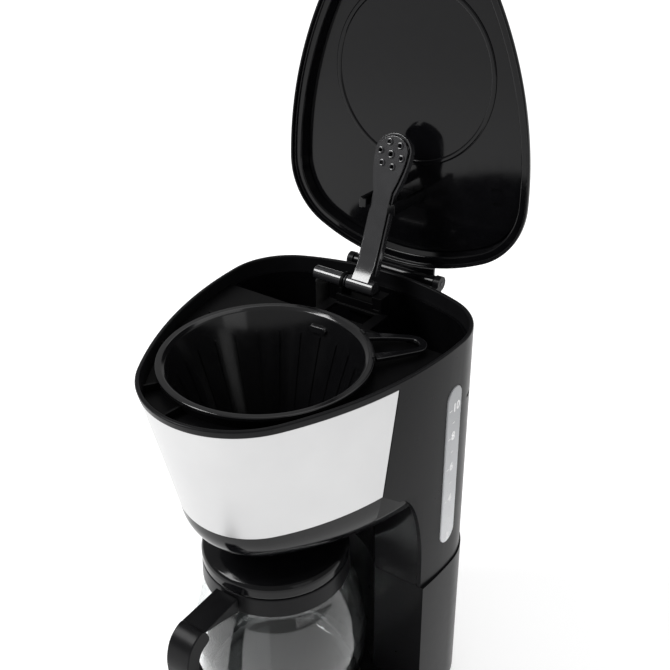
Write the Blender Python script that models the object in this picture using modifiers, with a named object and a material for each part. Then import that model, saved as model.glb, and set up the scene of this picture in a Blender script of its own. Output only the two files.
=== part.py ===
"""Drip coffee maker with a lift-up lid, swing-over spray arm, filter basket, jug and hot plate.

Metres, +Z up. The table is z = 0, the machine faces -Y, and its water gauge is on the +X side.
Everything is drawn in the machine's own plan, whose zero is the axis of the filter basket, and
hangs from one empty that moves that plan so that the origin is the middle of the footprint.
"""

import math

import bmesh
import bpy
from mathutils import Matrix, Vector

# ---- driving dimensions ---------------------------------------------------------------------
PLAN_SHIFT_Y = -0.03775     # basket axis, measured from the origin
GAP = 0.0003                # between pieces that touch
HALF_WIDTH = 0.0916         # body, at its widest
WIDEST_Y = 0.0812           # where the body is widest
REAR_Y = 0.1362             # rear of the body
CORNER_R = 0.046            # rear corners in plan
RIM_Z = 0.3112              # top edge of the body
RIM_FRONT_Y = -0.0833       # front of the body at the rim
RIM_FRONT_R = 0.063
BAND_Z = 0.219              # foot of the steel band at the front
BAND_FRONT_Y = -0.063       # front of the body at the foot of the band
BAND_FRONT_R = 0.055
BAND_RISE = 0.145           # slope of the band's lower edge towards the rear
RIM_END_Y = 0.0185          # where the band stops on each side, at the rim
FOOT_END_Y = 0.0100         # and at its foot
BAND_TOP_Z = 0.3062
BAND_T = 0.0010
WALL = 0.0028
SEAM_Z = 0.132              # joint between the upper and the base housing
CHIN_Z = 0.192              # underside of the brew head
COLUMN_Y = 0.0450           # front edges of the tower
COLUMN_R = 0.0680           # hollow of the tower, round the jug
PLATFORM_Z = 0.0325         # deck that holds the hot plate
BASE_Z = 0.0065
FOOT_R = 0.0085
WELL_TOP_R = 0.0640
WELL_LOW_R = 0.0365
WELL_FLOOR_Z = 0.198
DECK_Z = 0.3000
TANK_Z = 0.150
TANK_FRONT_Y = 0.0735
BASKET_RIM_R = 0.0660
BASKET_TOP_R = 0.0618
BASKET_LOW_R = 0.0300
BASKET_Z = 0.205
BASKET_RIM_Z = 0.3078
HINGE_Y = 0.1470
HINGE_Z = 0.3063
LID_OPEN_DEG = 92.0
LID_OVERHANG = 0.0019       # beyond the body at the front and sides
LID_CORNER_R = 0.0500
LID_REAR_Y = 0.1414
ARM_Y = 0.1050
ARM_Z = 0.3124
ARM_OPEN_DEG = 113.4
ARM_LENGTH = 0.0890
PLATE_R = 0.0570
JUG_R = 0.0620
JUG_NECK_R = 0.0470
JUG_Z = 0.0348
JUG_NECK_Z = 0.150
GRIP_DEG = 46.0             # direction of the basket's folding grip, from +X towards +Y
GRIP_CHORD = 0.0666
GRIP_HALF = 0.0140
GRIP_REACH = 0.0315
GAUGE_Y = 0.0725
GAUGE_LOW_Z = 0.1560
GAUGE_TOP_Z = 0.2820
GAUGE_HALF_W = 0.0085

BLACK = (0.022, 0.022, 0.024)
GLOSS = (0.012, 0.012, 0.014)
STEEL = (0.62, 0.62, 0.61)


# ---- scene and materials --------------------------------------------------------------------
def clear_scene():
    for old in list(bpy.data.objects):
        bpy.data.objects.remove(old, do_unlink=True)


def collection(name):
    new = bpy.data.collections.new(name)
    bpy.context.scene.collection.children.link(new)
    return new


def finish(name, colour, roughness, metallic=0.0):
    made = bpy.data.materials.new(name)
    made.use_nodes = True
    shader = made.node_tree.nodes["Principled BSDF"]
    shader.inputs["Base Color"].default_value = (*colour, 1.0)
    shader.inputs["Roughness"].default_value = roughness
    shader.inputs["Metallic"].default_value = metallic
    return made


def empty(name, place, parent=None, turn_x=0.0, turn_z=0.0):
    made = bpy.data.objects.new(name, None)
    made.empty_display_size = 0.02
    made.location = place
    made.rotation_euler = (math.radians(turn_x), 0.0, math.radians(turn_z))
    made.parent = parent
    PARTS.objects.link(made)
    return made


def new_object(name, mesh, look=None, parent=None):
    """A named part when it has a finish, otherwise a hidden cutter."""
    made = bpy.data.objects.new(name, mesh)
    if look is None:
        CUTTERS.objects.link(made)
        made.hide_render = True
        made.display_type = "WIRE"
    else:
        PARTS.objects.link(made)
        mesh.materials.append(finish(name, *look))
    made.parent = parent or MACHINE
    return made


def from_bmesh(name, bm, look=None, parent=None, smooth_deg=32):
    mesh = bpy.data.meshes.new(name)
    bm.to_mesh(mesh)
    bm.free()
    mesh.shade_smooth()
    mesh.set_sharp_from_angle(angle=math.radians(smooth_deg))
    return new_object(name, mesh, look, parent)


# ---- shape makers ---------------------------------------------------------------------------
def box(name, low, high, look=None, parent=None, bevel=0.0):
    bm = bmesh.new()
    size = Vector(high) - Vector(low)
    middle = (Vector(high) + Vector(low)) / 2
    place = Matrix.Translation(middle) @ Matrix.Diagonal((*size, 1.0))
    bmesh.ops.create_cube(bm, size=1.0, matrix=place)
    made = from_bmesh(name, bm, look, parent)
    if bevel:
        rounding = made.modifiers.new("edge", "BEVEL")
        rounding.width = bevel
        rounding.segments = 2
    return made


def rod(name, start, end, radius, look=None, parent=None, sides=24, end_radius=None):
    """Straight round bar from one point to another."""
    start = Vector(start)
    along = Vector(end) - start
    turn = along.to_track_quat("Z", "Y").to_matrix().to_4x4()
    place = Matrix.Translation(start + along / 2) @ turn
    bm = bmesh.new()
    bmesh.ops.create_cone(bm, cap_ends=True, segments=sides, radius1=radius,
                          radius2=radius if end_radius is None else end_radius,
                          depth=along.length, matrix=place)
    return from_bmesh(name, bm, look, parent)


def turned(name, profile, look=None, parent=None, steps=40, place=(0.0, 0.0, 0.0), turn=(0.0, 0.0, 0.0)):
    """Profile of (radius, height) points, listed down the outer side, turned about its Z axis."""
    bm = bmesh.new()
    points = [bm.verts.new((radius, 0.0, height)) for radius, height in profile]
    closed = profile[0][0] > 0 or profile[-1][0] > 0
    pairs = list(zip(points, points[1:]))
    if closed:
        pairs.append((points[-1], points[0]))
    for first, second in pairs:
        bm.edges.new((first, second))
    made = from_bmesh(name, bm, look, parent)
    made.location = place
    made.rotation_euler = turn
    spin = made.modifiers.new("turn", "SCREW")
    spin.steps = steps
    spin.render_steps = steps
    spin.use_merge_vertices = True
    spin.merge_threshold = 0.00005
    spin.use_smooth_shade = True
    return made


def flat(name, points, low_z, high_z, look=None, parent=None):
    """Outline of (x, y) points made into a plate between two heights."""
    curve = bpy.data.curves.new(name, "CURVE")
    curve.dimensions = "2D"
    curve.fill_mode = "BOTH"
    curve.extrude = (high_z - low_z) / 2
    spline = curve.splines.new("POLY")
    spline.points.add(len(points) - 1)
    for slot, (x, y) in zip(spline.points, points):
        slot.co = (x, y, 0.0, 1.0)
    spline.use_cyclic_u = True
    return curve_to_mesh(name, curve, look, parent, (low_z + high_z) / 2)


def side_prism(name, points, low_x, high_x, look=None, parent=None):
    """Outline of (y, z) points made into a plate between two x values."""
    made = flat(name, points, low_x, high_x, look, parent)
    made.matrix_basis = Matrix(((0, 0, 1, 0), (1, 0, 0, 0), (0, 1, 0, 0), (0, 0, 0, 1)))
    return made


def tube(name, points, radius, look=None, parent=None, cyclic=False):
    curve = bpy.data.curves.new(name, "CURVE")
    curve.dimensions = "3D"
    curve.bevel_depth = radius
    curve.bevel_resolution = 2
    curve.use_fill_caps = True
    spline = curve.splines.new("POLY")
    spline.points.add(len(points) - 1)
    for slot, point in zip(spline.points, points):
        slot.co = (*point, 1.0)
    spline.use_cyclic_u = cyclic
    return curve_to_mesh(name, curve, look, parent, 0.0)


def curve_to_mesh(name, curve, look, parent, height):
    """Turn a curve into a welded mesh, lifted to its height."""
    source = bpy.data.objects.new(name + "_curve", curve)
    PARTS.objects.link(source)
    bpy.context.view_layer.update()
    ready = source.evaluated_get(bpy.context.evaluated_depsgraph_get())
    mesh = bpy.data.meshes.new_from_object(ready)
    bpy.data.objects.remove(source, do_unlink=True)
    bm = bmesh.new()
    bm.from_mesh(mesh)
    bpy.data.meshes.remove(mesh)
    bmesh.ops.remove_doubles(bm, verts=bm.verts, dist=0.00001)
    bmesh.ops.translate(bm, verts=bm.verts, vec=(0.0, 0.0, height))
    bmesh.ops.recalc_face_normals(bm, faces=bm.faces)
    return from_bmesh(name, bm, look, parent)


def loft(name, rings, look=None, parent=None):
    """Closed skin through rings of equal point count, listed from the bottom to the top."""
    bm = bmesh.new()
    rows = [[bm.verts.new(point) for point in ring] for ring in rings]
    join_rows(bm, rows)
    bm.faces.new(list(reversed(rows[0])))
    bm.faces.new(rows[-1])
    bmesh.ops.recalc_face_normals(bm, faces=bm.faces)
    return from_bmesh(name, bm, look, parent)


def pipe(name, rings, look=None, parent=None):
    """Closed ring-shaped wall: up the outside, over the edge and down the inside, back to the start."""
    bm = bmesh.new()
    rows = [[bm.verts.new(point) for point in ring] for ring in rings]
    join_rows(bm, rows + [rows[0]])
    bmesh.ops.recalc_face_normals(bm, faces=bm.faces)
    return from_bmesh(name, bm, look, parent)


def join_rows(bm, rows, closed=True):
    """Triangles between neighbouring rows, all cut along the same diagonal so that skins stay parallel."""
    for lower, upper in zip(rows, rows[1:]):
        count = len(lower)
        for index in range(count if closed else count - 1):
            after = (index + 1) % count
            bm.faces.new((lower[index], lower[after], upper[after]))
            bm.faces.new((lower[index], upper[after], upper[index]))


def combine(target, tool, operation="DIFFERENCE"):
    step = target.modifiers.new(operation.lower(), "BOOLEAN")
    step.operation = operation
    step.solver = "EXACT"
    step.object = tool
    return target


def arc(centre, radius, start_deg, end_deg, steps):
    """Points on a circle, both ends included."""
    points = []
    for index in range(steps + 1):
        angle = math.radians(start_deg + (end_deg - start_deg) * index / steps)
        points.append((centre[0] + radius * math.cos(angle), centre[1] + radius * math.sin(angle)))
    return points


# ---- the body's outline ---------------------------------------------------------------------
FRONT_STEPS = 8
SIDE_STEPS = 4
CORNER_STEPS = 6
REAR_STEPS = 3


def outline(front_y, front_r, grow=0.0, band_end_y=RIM_END_Y, half_width=HALF_WIDTH, corner_r=CORNER_R,
            rear_y=REAR_Y):
    """Plan of the body: front, side, corner and rear arcs, each tangent to the next, both halves."""
    front_c = Vector((0.0, front_y + front_r))
    corner_c = Vector((half_width - corner_r, WIDEST_Y))
    away = WIDEST_Y - front_c.y
    side_r = (half_width**2 + away**2 - front_r**2) / (2 * (half_width - front_r))
    side_c = Vector((half_width - side_r, WIDEST_Y))
    setback = WIDEST_Y - rear_y
    rear_r = (corner_r**2 - corner_c.x**2 - setback**2) / (2 * (setback + corner_r))
    rear_c = Vector((0.0, rear_y - rear_r))
    to_side = math.degrees(math.atan2(front_c.y - side_c.y, front_c.x - side_c.x))
    band_end = math.degrees(math.asin((band_end_y - WIDEST_Y) / side_r))
    to_rear = math.degrees(math.atan2(corner_c.y - rear_c.y, corner_c.x - rear_c.x))
    half = arc(front_c, front_r + grow, -90.0, to_side, FRONT_STEPS)
    half += arc(side_c, side_r + grow, to_side, band_end, SIDE_STEPS)[1:]
    half += arc(side_c, side_r + grow, band_end, 0.0, SIDE_STEPS)[1:]
    half += arc(corner_c, corner_r + grow, 0.0, to_rear, CORNER_STEPS)[1:]
    half += arc(rear_c, rear_r + grow, to_rear, 90.0, REAR_STEPS)[1:]
    mirrored = [(-x, y) for x, y in reversed(half[1:-1])]
    return half + mirrored


BAND_END_INDEX = FRONT_STEPS + SIDE_STEPS


def rim_level(z, grow=0.0):
    return [(x, y, z) for x, y in outline(RIM_FRONT_Y, RIM_FRONT_R, grow)]


def foot_level(z, grow=0.0):
    return [(x, y, z) for x, y in outline(BAND_FRONT_Y, BAND_FRONT_R, grow, FOOT_END_Y)]


def lid_level(z, grow=0.0):
    plan = outline(RIM_FRONT_Y - LID_OVERHANG, RIM_FRONT_R + LID_OVERHANG, grow, RIM_END_Y,
                   HALF_WIDTH + LID_OVERHANG, LID_CORNER_R, LID_REAR_Y)
    return [(x, y, z) for x, y in plan]


def head_level(z, grow=0.0):
    """Plan of the brew head at a height, between the rim's plan and the plan at the band's foot."""
    share = (RIM_Z - z) / (RIM_Z - BAND_Z)
    rim = rim_level(z, grow)
    foot = foot_level(z, grow)
    return [tuple(Vector(a).lerp(Vector(b), share)) for a, b in zip(rim, foot)]


def band_foot(grow=0.0):
    """Ring on the head's skin along the band's lower edge, which rises towards the rear."""
    ring = []
    for (x0, y0), (x1, y1) in zip(outline(RIM_FRONT_Y, RIM_FRONT_R, grow),
                                  outline(BAND_FRONT_Y, BAND_FRONT_R, grow, FOOT_END_Y)):
        height = RIM_Z - BAND_Z
        rise = BAND_RISE * (y0 - BAND_FRONT_Y)
        share = (height - rise) / (height + BAND_RISE * (y1 - y0))
        share = min(max(share, 0.0), 1.0)
        ring.append((x0 + (x1 - x0) * share, y0 + (y1 - y0) * share, RIM_Z - height * share))
    return ring


def column_front(radius, inset, near_y):
    """Plan of everything in front of the tower: its wing faces and the hollow round the jug."""
    face_y = COLUMN_Y + inset
    reach = radius + inset
    half_deg = math.degrees(math.acos(face_y / reach))
    hollow = arc((0.0, 0.0), reach, 90.0 - half_deg, 90.0 + half_deg, 16)
    return [(-0.13, near_y), (0.13, near_y), (0.13, face_y)] + hollow + [(-0.13, face_y)]


# ---- housings -------------------------------------------------------------------------------
def make_upper_housing():
    """Tower and head wall in one moulding, with the band's seat, gauge opening and hinge lugs."""
    housing = pipe("upper_housing", [
        foot_level(SEAM_Z + GAP), foot_level(BAND_Z), rim_level(RIM_Z - 0.0012), rim_level(RIM_Z, -0.0008),
        rim_level(RIM_Z, -WALL + 0.0006), rim_level(RIM_Z - 0.0012, -WALL), foot_level(BAND_Z, -WALL),
        foot_level(SEAM_Z + GAP, -WALL)], (BLACK, 0.32))
    combine(housing, band_seat())
    corner = band_foot()[BAND_END_INDEX]
    profile = [(-0.13, 0.10), (COLUMN_Y, 0.10), (COLUMN_Y, 0.150)]
    profile += [(COLUMN_Y - 0.0040, 0.1890), (COLUMN_Y - 0.0120, 0.2070), (COLUMN_Y - 0.0210, 0.2190)]
    profile += [(corner[1], corner[2]), (-0.13, corner[2] - BAND_RISE * (corner[1] + 0.13))]
    combine(housing, side_prism("niche_cutter", profile, -0.13, 0.13))
    window = gauge_pill("gauge_opening", HALF_WIDTH - 0.010, HALF_WIDTH + 0.010, GAP)
    combine(housing, window)
    vent = box("vent_cutter", (0.075, 0.0905, 0.2630), (0.100, 0.0985, 0.2655))
    combine(housing, vent)
    for side in (-1, 1):
        lug = hinge_lug(f"hinge_lug_{side}", side)
        combine(housing, lug, "UNION")
        pin_way = rod(f"pin_way_{side}", (side * 0.0300, HINGE_Y, HINGE_Z),
                      (side * 0.0450, HINGE_Y, HINGE_Z), 0.0018, sides=12)
        combine(housing, pin_way)


def band_seat():
    """Space for the band: everything ahead of its slanting ends, less the core that stays."""
    low = band_foot()[BAND_END_INDEX]
    top = head_level(BAND_TOP_Z)[BAND_END_INDEX]
    slope = (top[1] - low[1]) / (top[2] - low[2])
    top_z = BAND_TOP_Z + GAP
    ends = [(top[1] + 2 * GAP + slope * (z - top[2]), z) for z in (0.10, top_z)]
    seat = side_prism("band_seat", [(-0.13, 0.10), *ends, (-0.13, top_z)], -0.13, 0.13)
    depth = BAND_T + 2 * GAP
    core = loft("band_core", [foot_level(0.05, -depth), band_foot(-depth), head_level(BAND_TOP_Z, -depth),
                              head_level(RIM_Z, -depth)])
    return combine(seat, core)


def hinge_lug(name, side):
    """Lug that carries the lid's pin behind the rear wall."""
    inner = side * 0.0335
    outer = side * 0.0380
    low_x, high_x = sorted((inner, outer))
    lug = box(name, (low_x, 0.1310, 0.2960), (high_x, HINGE_Y, 0.3055))
    eye = rod(name + "_eye", (low_x, HINGE_Y, HINGE_Z), (high_x, HINGE_Y, HINGE_Z), 0.0052, sides=20)
    return combine(lug, eye, "UNION")


def make_steel_band():
    """Sheet round the front of the head from one end to the other, thickened inwards."""
    top = [(x, y, BAND_TOP_Z) for x, y, _ in head_level(BAND_TOP_Z)]
    order = [index % len(top) for index in range(-BAND_END_INDEX, BAND_END_INDEX + 1)]
    bm = bmesh.new()
    rows = [[bm.verts.new(ring[index]) for index in order] for ring in (band_foot(), top)]
    join_rows(bm, rows, closed=False)
    band = from_bmesh("steel_band", bm, (STEEL, 0.28, 1.0))
    skin = band.modifiers.new("thickness", "SOLIDIFY")
    skin.thickness = BAND_T
    skin.offset = -1.0


def make_drip_head():
    """Glossy pan under the head: it starts flush at the band and rolls under to a flat bottom."""
    outer = [[(x, y, z - GAP) for x, y, z in band_foot(-0.0002)]]
    top_z = [point[2] for point in outer[0]]
    for angle in (20, 38, 55, 72, 90):
        inset = 0.0230 * (1 - math.cos(math.radians(angle)))
        sunk = math.sin(math.radians(angle))
        plan = foot_level(0.0, -0.0002 - inset)
        outer.append([(x, y, top + (CHIN_Z - top) * sunk) for (x, y, _), top in zip(plan, top_z)])
    head = loft("drip_head", list(reversed(outer)), (GLOSS, 0.12))
    hollow = [[(x, y, z + 0.02) for x, y, z in band_foot(-0.0060)], band_foot(-0.0060)]
    for angle in (20, 38, 55, 72, 90):
        inset = 0.0230 * (1 - math.cos(math.radians(angle)))
        sunk = math.sin(math.radians(angle))
        plan = foot_level(0.0, -0.0060 - inset)
        hollow.append([(x, y, top + (CHIN_Z + 0.0024 - top) * sunk) for (x, y, _), top in zip(plan, top_z)])
    combine(head, loft("head_hollow", list(reversed(hollow))))
    combine(head, rod("head_outlet", (0, 0, CHIN_Z - 0.01), (0, 0, CHIN_Z + 0.01), 0.0140, sides=28))
    combine(head, front_block("head_side_cutter", band_foot()[BAND_END_INDEX][1] - 0.0008, WALL + 0.0007))
    combine(head, behind_column("head_rear_cutter", -GAP - 0.0002))


def front_block(name, start_y, inset):
    """Ring-shaped cutter over the housing's side walls behind a line."""
    block = box(name, (-0.12, start_y, 0.10), (0.12, 0.20, 0.30))
    keep = loft(name + "_keep", [foot_level(0.09, -inset), foot_level(0.31, -inset)])
    return combine(block, keep)


def behind_column(name, inset):
    """Cutter for everything behind the tower's front faces."""
    block = box(name, (-0.12, 0.0, 0.05), (0.12, 0.22, 0.30))
    keep = flat(name + "_keep", column_front(COLUMN_R, inset, -0.15), 0.04, 0.31)
    return combine(block, keep)


def make_column_liner():
    """Glossy skin on the tower's front, hollowed to clear the jug."""
    liner = flat("column_liner", liner_plan(), SEAM_Z + GAP, 0.2190, (GLOSS, 0.10))
    trim = loft("liner_trim", [foot_level(0.10, -WALL - GAP), foot_level(0.30, -WALL - GAP)])
    combine(liner, trim, "INTERSECT")


def liner_plan():
    front = column_front(COLUMN_R, 0.0, 0.0)[3:-1]
    back = column_front(COLUMN_R, 0.0022, 0.0)[3:-1]
    wide = 0.0950
    near = [(wide, COLUMN_Y)] + front + [(-wide, COLUMN_Y)]
    far = [(wide, COLUMN_Y + 0.0022)] + back + [(-wide, COLUMN_Y + 0.0022)]
    return near + list(reversed(far))


def make_basket_well():
    """Deck round the basket with the cone-shaped well that holds it."""
    well = loft("basket_well", [head_level(DECK_Z, -WALL - GAP), head_level(DECK_Z + 0.0022, -WALL - GAP)],
                (BLACK, 0.42))
    cone = rod("well_cone", (0, 0, WELL_FLOOR_Z - 0.0018), (0, 0, BASKET_RIM_Z - GAP),
               WELL_LOW_R + 0.0016, sides=48, end_radius=WELL_TOP_R + 0.0016)
    combine(well, cone, "UNION")
    bore = rod("well_bore", (0, 0, WELL_FLOOR_Z), (0, 0, BASKET_RIM_Z + 0.002), WELL_LOW_R, sides=48,
               end_radius=WELL_TOP_R + 0.0004)
    combine(well, bore)
    combine(well, rod("well_outlet", (0, 0, 0.18), (0, 0, 0.21), 0.0120, sides=24))
    combine(well, box("well_rear_cutter", (-0.12, 0.0722, 0.15), (0.12, 0.20, 0.32)))


def make_water_tank():
    """Open tank behind the basket, standing inside the tower."""
    inset = WALL + 0.0006
    tank = loft("water_tank", [foot_level(TANK_Z, -inset), foot_level(BAND_Z, -inset),
                               rim_level(DECK_Z, -inset)], (BLACK, 0.30))
    combine(tank, box("tank_front_cutter", (-0.12, -0.12, 0.10), (0.12, TANK_FRONT_Y, 0.32)))
    space = loft("tank_space", [foot_level(TANK_Z + 0.0020, -inset - 0.0018),
                                foot_level(BAND_Z, -inset - 0.0018), rim_level(DECK_Z + 0.01, -inset - 0.0018)])
    combine(space, box("space_front_cutter", (-0.12, -0.12, 0.10), (0.12, TANK_FRONT_Y + 0.0018, 0.34)))
    combine(tank, space)
    for x, y, radius in ((RISER_X, ARM_Y, 0.0056), (INLET_X, 0.112, 0.0056)):
        combine(tank, rod(f"tank_hole_{x}", (x, y, 0.14), (x, y, 0.16), radius, sides=16))


def gauge_pill(name, low_x, high_x, grow=0.0, look=None, half=GAUGE_HALF_W):
    """Long window with round ends, as a prism across the side wall."""
    low = GAUGE_LOW_Z + GAUGE_HALF_W
    high = GAUGE_TOP_Z - GAUGE_HALF_W
    points = arc((GAUGE_Y, high), half + grow, 0.0, 180.0, 8)
    points += arc((GAUGE_Y, low), half + grow, 180.0, 360.0, 8)
    return side_prism(name, points, low_x, high_x, look)


def make_gauge_window():
    gauge_pill("gauge_window", HALF_WIDTH - 0.0022, HALF_WIDTH + 0.0003, 0.0, ((0.72, 0.72, 0.72), 0.35))


def make_base_housing():
    """Base with the jug's platform in front and the heater bay behind."""
    grow = 0.0010
    rings = [rim_level(BASE_Z, grow - 0.0015), rim_level(BASE_Z + 0.0015, grow), rim_level(PLATFORM_Z, grow),
             rim_level(SEAM_Z, grow)]
    base = loft("base_housing", rings, (BLACK, 0.34))
    combine(base, flat("base_niche", column_front(COLUMN_R, 0.0, -0.15), PLATFORM_Z, 0.20))
    under = loft("base_hollow", [rim_level(-0.01, -WALL), rim_level(PLATFORM_Z - 0.0026, -WALL)])
    combine(base, under)
    behind = loft("base_bay", [rim_level(PLATFORM_Z - 0.004, -WALL), rim_level(0.20, -WALL)])
    combine(behind, flat("bay_front", column_front(COLUMN_R, WALL, -0.15), 0.0, 0.25))
    combine(base, behind)
    combine(base, rod("plate_hole", (0, 0, 0.02), (0, 0, 0.05), PLATE_R + 0.0006, sides=48))
    combine(base, box("switch_seat", (-0.0153, -0.10, 0.0097), (0.0153, -0.0822, 0.0298)))
    combine(base, box("switch_hole", (-0.0126, -0.10, 0.0126), (0.0126, -0.070, 0.0269)))
    combine(base, rod("gland_hole", (GLAND_X, 0.10, GLAND_Z), (GLAND_X, 0.16, GLAND_Z), 0.0062, sides=20))


def make_bottom_plate():
    plate = loft("bottom_plate", [rim_level(BASE_Z, -WALL - GAP), rim_level(BASE_Z + 0.0022, -WALL - GAP)],
                 ((0.03, 0.03, 0.03), 0.5))
    for index, (x, y) in enumerate(SCREW_PLACES):
        combine(plate, rod(f"screw_way_{index}", (x, y, 0.0), (x, y, 0.02), 0.0019, sides=12))
        shank = rod(f"screw_shank_{index}", (x, y, 0.0055), (x, y, 0.0180), 0.0015, sides=12)
        screw = turned(f"base_screw_{index + 1}", [(0.0, 0.0062), (0.0034, 0.0062), (0.0034, 0.0052),
                                                   (0.0022, 0.0040), (0.0, 0.0038)], ((0.55, 0.55, 0.55), 0.35, 1.0),
                       steps=16, place=(x, y, 0.0))
        combine(screw, shank, "UNION")


def make_feet():
    for index, (x, y) in enumerate(FOOT_PLACES):
        turned(f"foot_{index + 1}", [(0.0, BASE_Z - GAP), (FOOT_R - 0.0008, BASE_Z - GAP), (FOOT_R, 0.0010),
                                     (FOOT_R - 0.0010, 0.0), (0.0, 0.0)], ((0.03, 0.03, 0.03), 0.8),
               steps=24, place=(x, y, 0.0))


SCREW_PLACES = [(-0.055, -0.020), (0.055, -0.020), (-0.060, 0.078), (0.060, 0.078)]
FOOT_PLACES = [(-0.042, -0.048), (0.042, -0.048), (-0.066, 0.100), (0.066, 0.100)]
RISER_X = -0.0330
LEG_Z = 0.0225
INLET_X = 0.0300
GLAND_X = 0.0300
GLAND_Z = 0.0300


# ---- heating and water path -----------------------------------------------------------------
def make_hot_plate():
    turned("hot_plate", [(0.0, 0.0345), (PLATE_R - 0.0040, 0.0345), (PLATE_R - 0.0010, 0.0342),
                         (PLATE_R, 0.0332), (PLATE_R, 0.0300), (PLATE_R - 0.0015, 0.0300),
                         (PLATE_R - 0.0015, 0.0328), (0.0, 0.0328)], ((0.05, 0.05, 0.05), 0.35, 0.4), steps=48)


def make_heating_element():
    points = [(INLET_X, 0.0820, LEG_Z), (INLET_X, 0.0520, LEG_Z), (0.0240, 0.0400, LEG_Z + 0.0020)]
    points += [(x, y, 0.0268) for x, y in arc((0.0, 0.0), 0.0400, 60.0, -240.0, 24)]
    points += [(-0.0240, 0.0400, LEG_Z + 0.0020), (RISER_X, 0.0520, LEG_Z), (RISER_X, 0.0820, LEG_Z)]
    tube("heating_element", points, 0.0055, ((0.72, 0.72, 0.72), 0.4, 1.0))
    turned("thermostat", [(0.0, 0.0205), (0.0085, 0.0205), (0.0085, 0.0120), (0.0, 0.0120)],
           ((0.65, 0.65, 0.65), 0.4, 1.0), steps=20, place=(0.0, -0.0400, 0.0))
    rod("thermal_fuse", (-0.0080, 0.0120, 0.0260), (0.0080, 0.0120, 0.0260), 0.0020, ((0.8, 0.8, 0.75), 0.5),
        sides=12)
    box("terminal_block", (0.0300, 0.1120, 0.0120), (0.0480, 0.1230, 0.0220), ((0.8, 0.8, 0.78), 0.5),
        bevel=0.0008)


def make_water_hoses():
    silicone = ((0.75, 0.75, 0.73), 0.45)
    tube("inlet_hose", [(INLET_X, 0.0824, LEG_Z), (INLET_X, 0.0940, LEG_Z), (INLET_X, 0.1060, 0.0300),
                        (INLET_X, 0.1115, 0.0420), (INLET_X, 0.1120, 0.0560), (INLET_X, 0.1120, 0.0940)],
         0.0050, silicone)
    turned("check_valve", [(0.0, 0.1180), (0.0040, 0.1180), (0.0040, 0.1120), (0.0070, 0.1110),
                           (0.0070, 0.1000), (0.0040, 0.0990), (0.0040, 0.0944), (0.0, 0.0944)],
           ((0.85, 0.85, 0.85), 0.5), steps=20, place=(INLET_X, 0.112, 0.0))
    rod("tank_outlet", (INLET_X, 0.112, 0.1184), (INLET_X, 0.112, 0.1560), 0.0050, silicone, sides=12)
    turned("tank_screen", [(0.0, 0.1640), (0.0060, 0.1620), (0.0085, 0.1525), (0.0070, 0.1525),
                           (0.0052, 0.1600), (0.0, 0.1612)], ((0.85, 0.85, 0.85), 0.5), steps=24,
           place=(INLET_X, 0.112, 0.0))
    tube("riser_hose", [(RISER_X, 0.0824, LEG_Z), (RISER_X, 0.0900, LEG_Z), (RISER_X, 0.1020, 0.0310),
                        (RISER_X, ARM_Y, 0.0460), (RISER_X, ARM_Y, 0.1000), (RISER_X, ARM_Y, 0.1600),
                        (RISER_X, ARM_Y, 0.2300), (RISER_X, ARM_Y, 0.3070)], 0.0050, silicone)


def make_pivot_bracket():
    """Post in the tank with the shelf, stop wall, collar and cradle that hold the spray arm."""
    bracket = box("pivot_bracket", (-0.0240, 0.0760, 0.2960), (0.0240, 0.1005, 0.2985), (BLACK, 0.35))
    pieces = [
        box("bracket_block", (-0.0165, 0.0980, 0.2965), (0.0180, 0.1120, 0.3010)),
        box("bracket_wall", (-0.0165, 0.0980, 0.2970), (0.0130, 0.1005, 0.3048)),
        box("bracket_post", (-0.0080, 0.1015, TANK_Z + 0.0026), (0.0080, 0.1115, 0.2980)),
        box("bracket_ear", (0.0120, 0.0985, 0.2940), (0.0196, 0.1095, 0.3098)),
        box("collar_leg", (-0.0150, 0.0990, 0.2980), (-0.0128, 0.1110, ARM_Z - 0.0030)),
        rod("collar_ring", (-0.0150, ARM_Y, ARM_Z), (-0.0128, ARM_Y, ARM_Z), 0.0060, sides=24),
    ]
    for piece in pieces:
        combine(bracket, piece, "UNION")
    combine(bracket, box("hook_way", (-0.0160, 0.0815, 0.28), (0.0160, 0.0968, 0.31)))
    combine(bracket, rod("collar_bore", (-0.02, ARM_Y, ARM_Z), (-0.01, ARM_Y, ARM_Z), 0.0051, sides=24))


def make_outlet_tube():
    profile = [(0.0033, 0.0462), (0.0033, 0.0266), (0.0048, 0.0262), (0.0048, 0.0004), (0.0044, 0.0), (0.0022, 0.0),
               (0.0022, 0.0462)]
    turned("outlet_tube", profile, (BLACK, 0.15), steps=24, place=(-0.0380, ARM_Y, ARM_Z),
           turn=(0.0, math.radians(90.0), 0.0))


def make_hinge_pin():
    turned("hinge_pin", [(0.0, 0.0764), (0.0015, 0.0764), (0.0015, 0.0), (0.0, 0.0)], ((0.7, 0.7, 0.7), 0.3, 1.0), steps=12,
           place=(-0.0382, HINGE_Y, HINGE_Z), turn=(0.0, math.radians(90.0), 0.0))


def make_cord_gland():
    """Inlet for the mains lead at the rear; the lead itself isn't made."""
    profile = [(0.0030, -0.0060), (0.0030, 0.0150), (0.0042, 0.0150), (0.0060, 0.0040), (0.0085, 0.0032),
               (0.0085, 0.0), (0.0059, 0.0), (0.0059, -0.0060)]
    turned("cord_gland", profile, ((0.03, 0.03, 0.03), 0.6), steps=20, place=(GLAND_X, REAR_Y, GLAND_Z),
           turn=(math.radians(-90.0), 0.0, 0.0))


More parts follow.
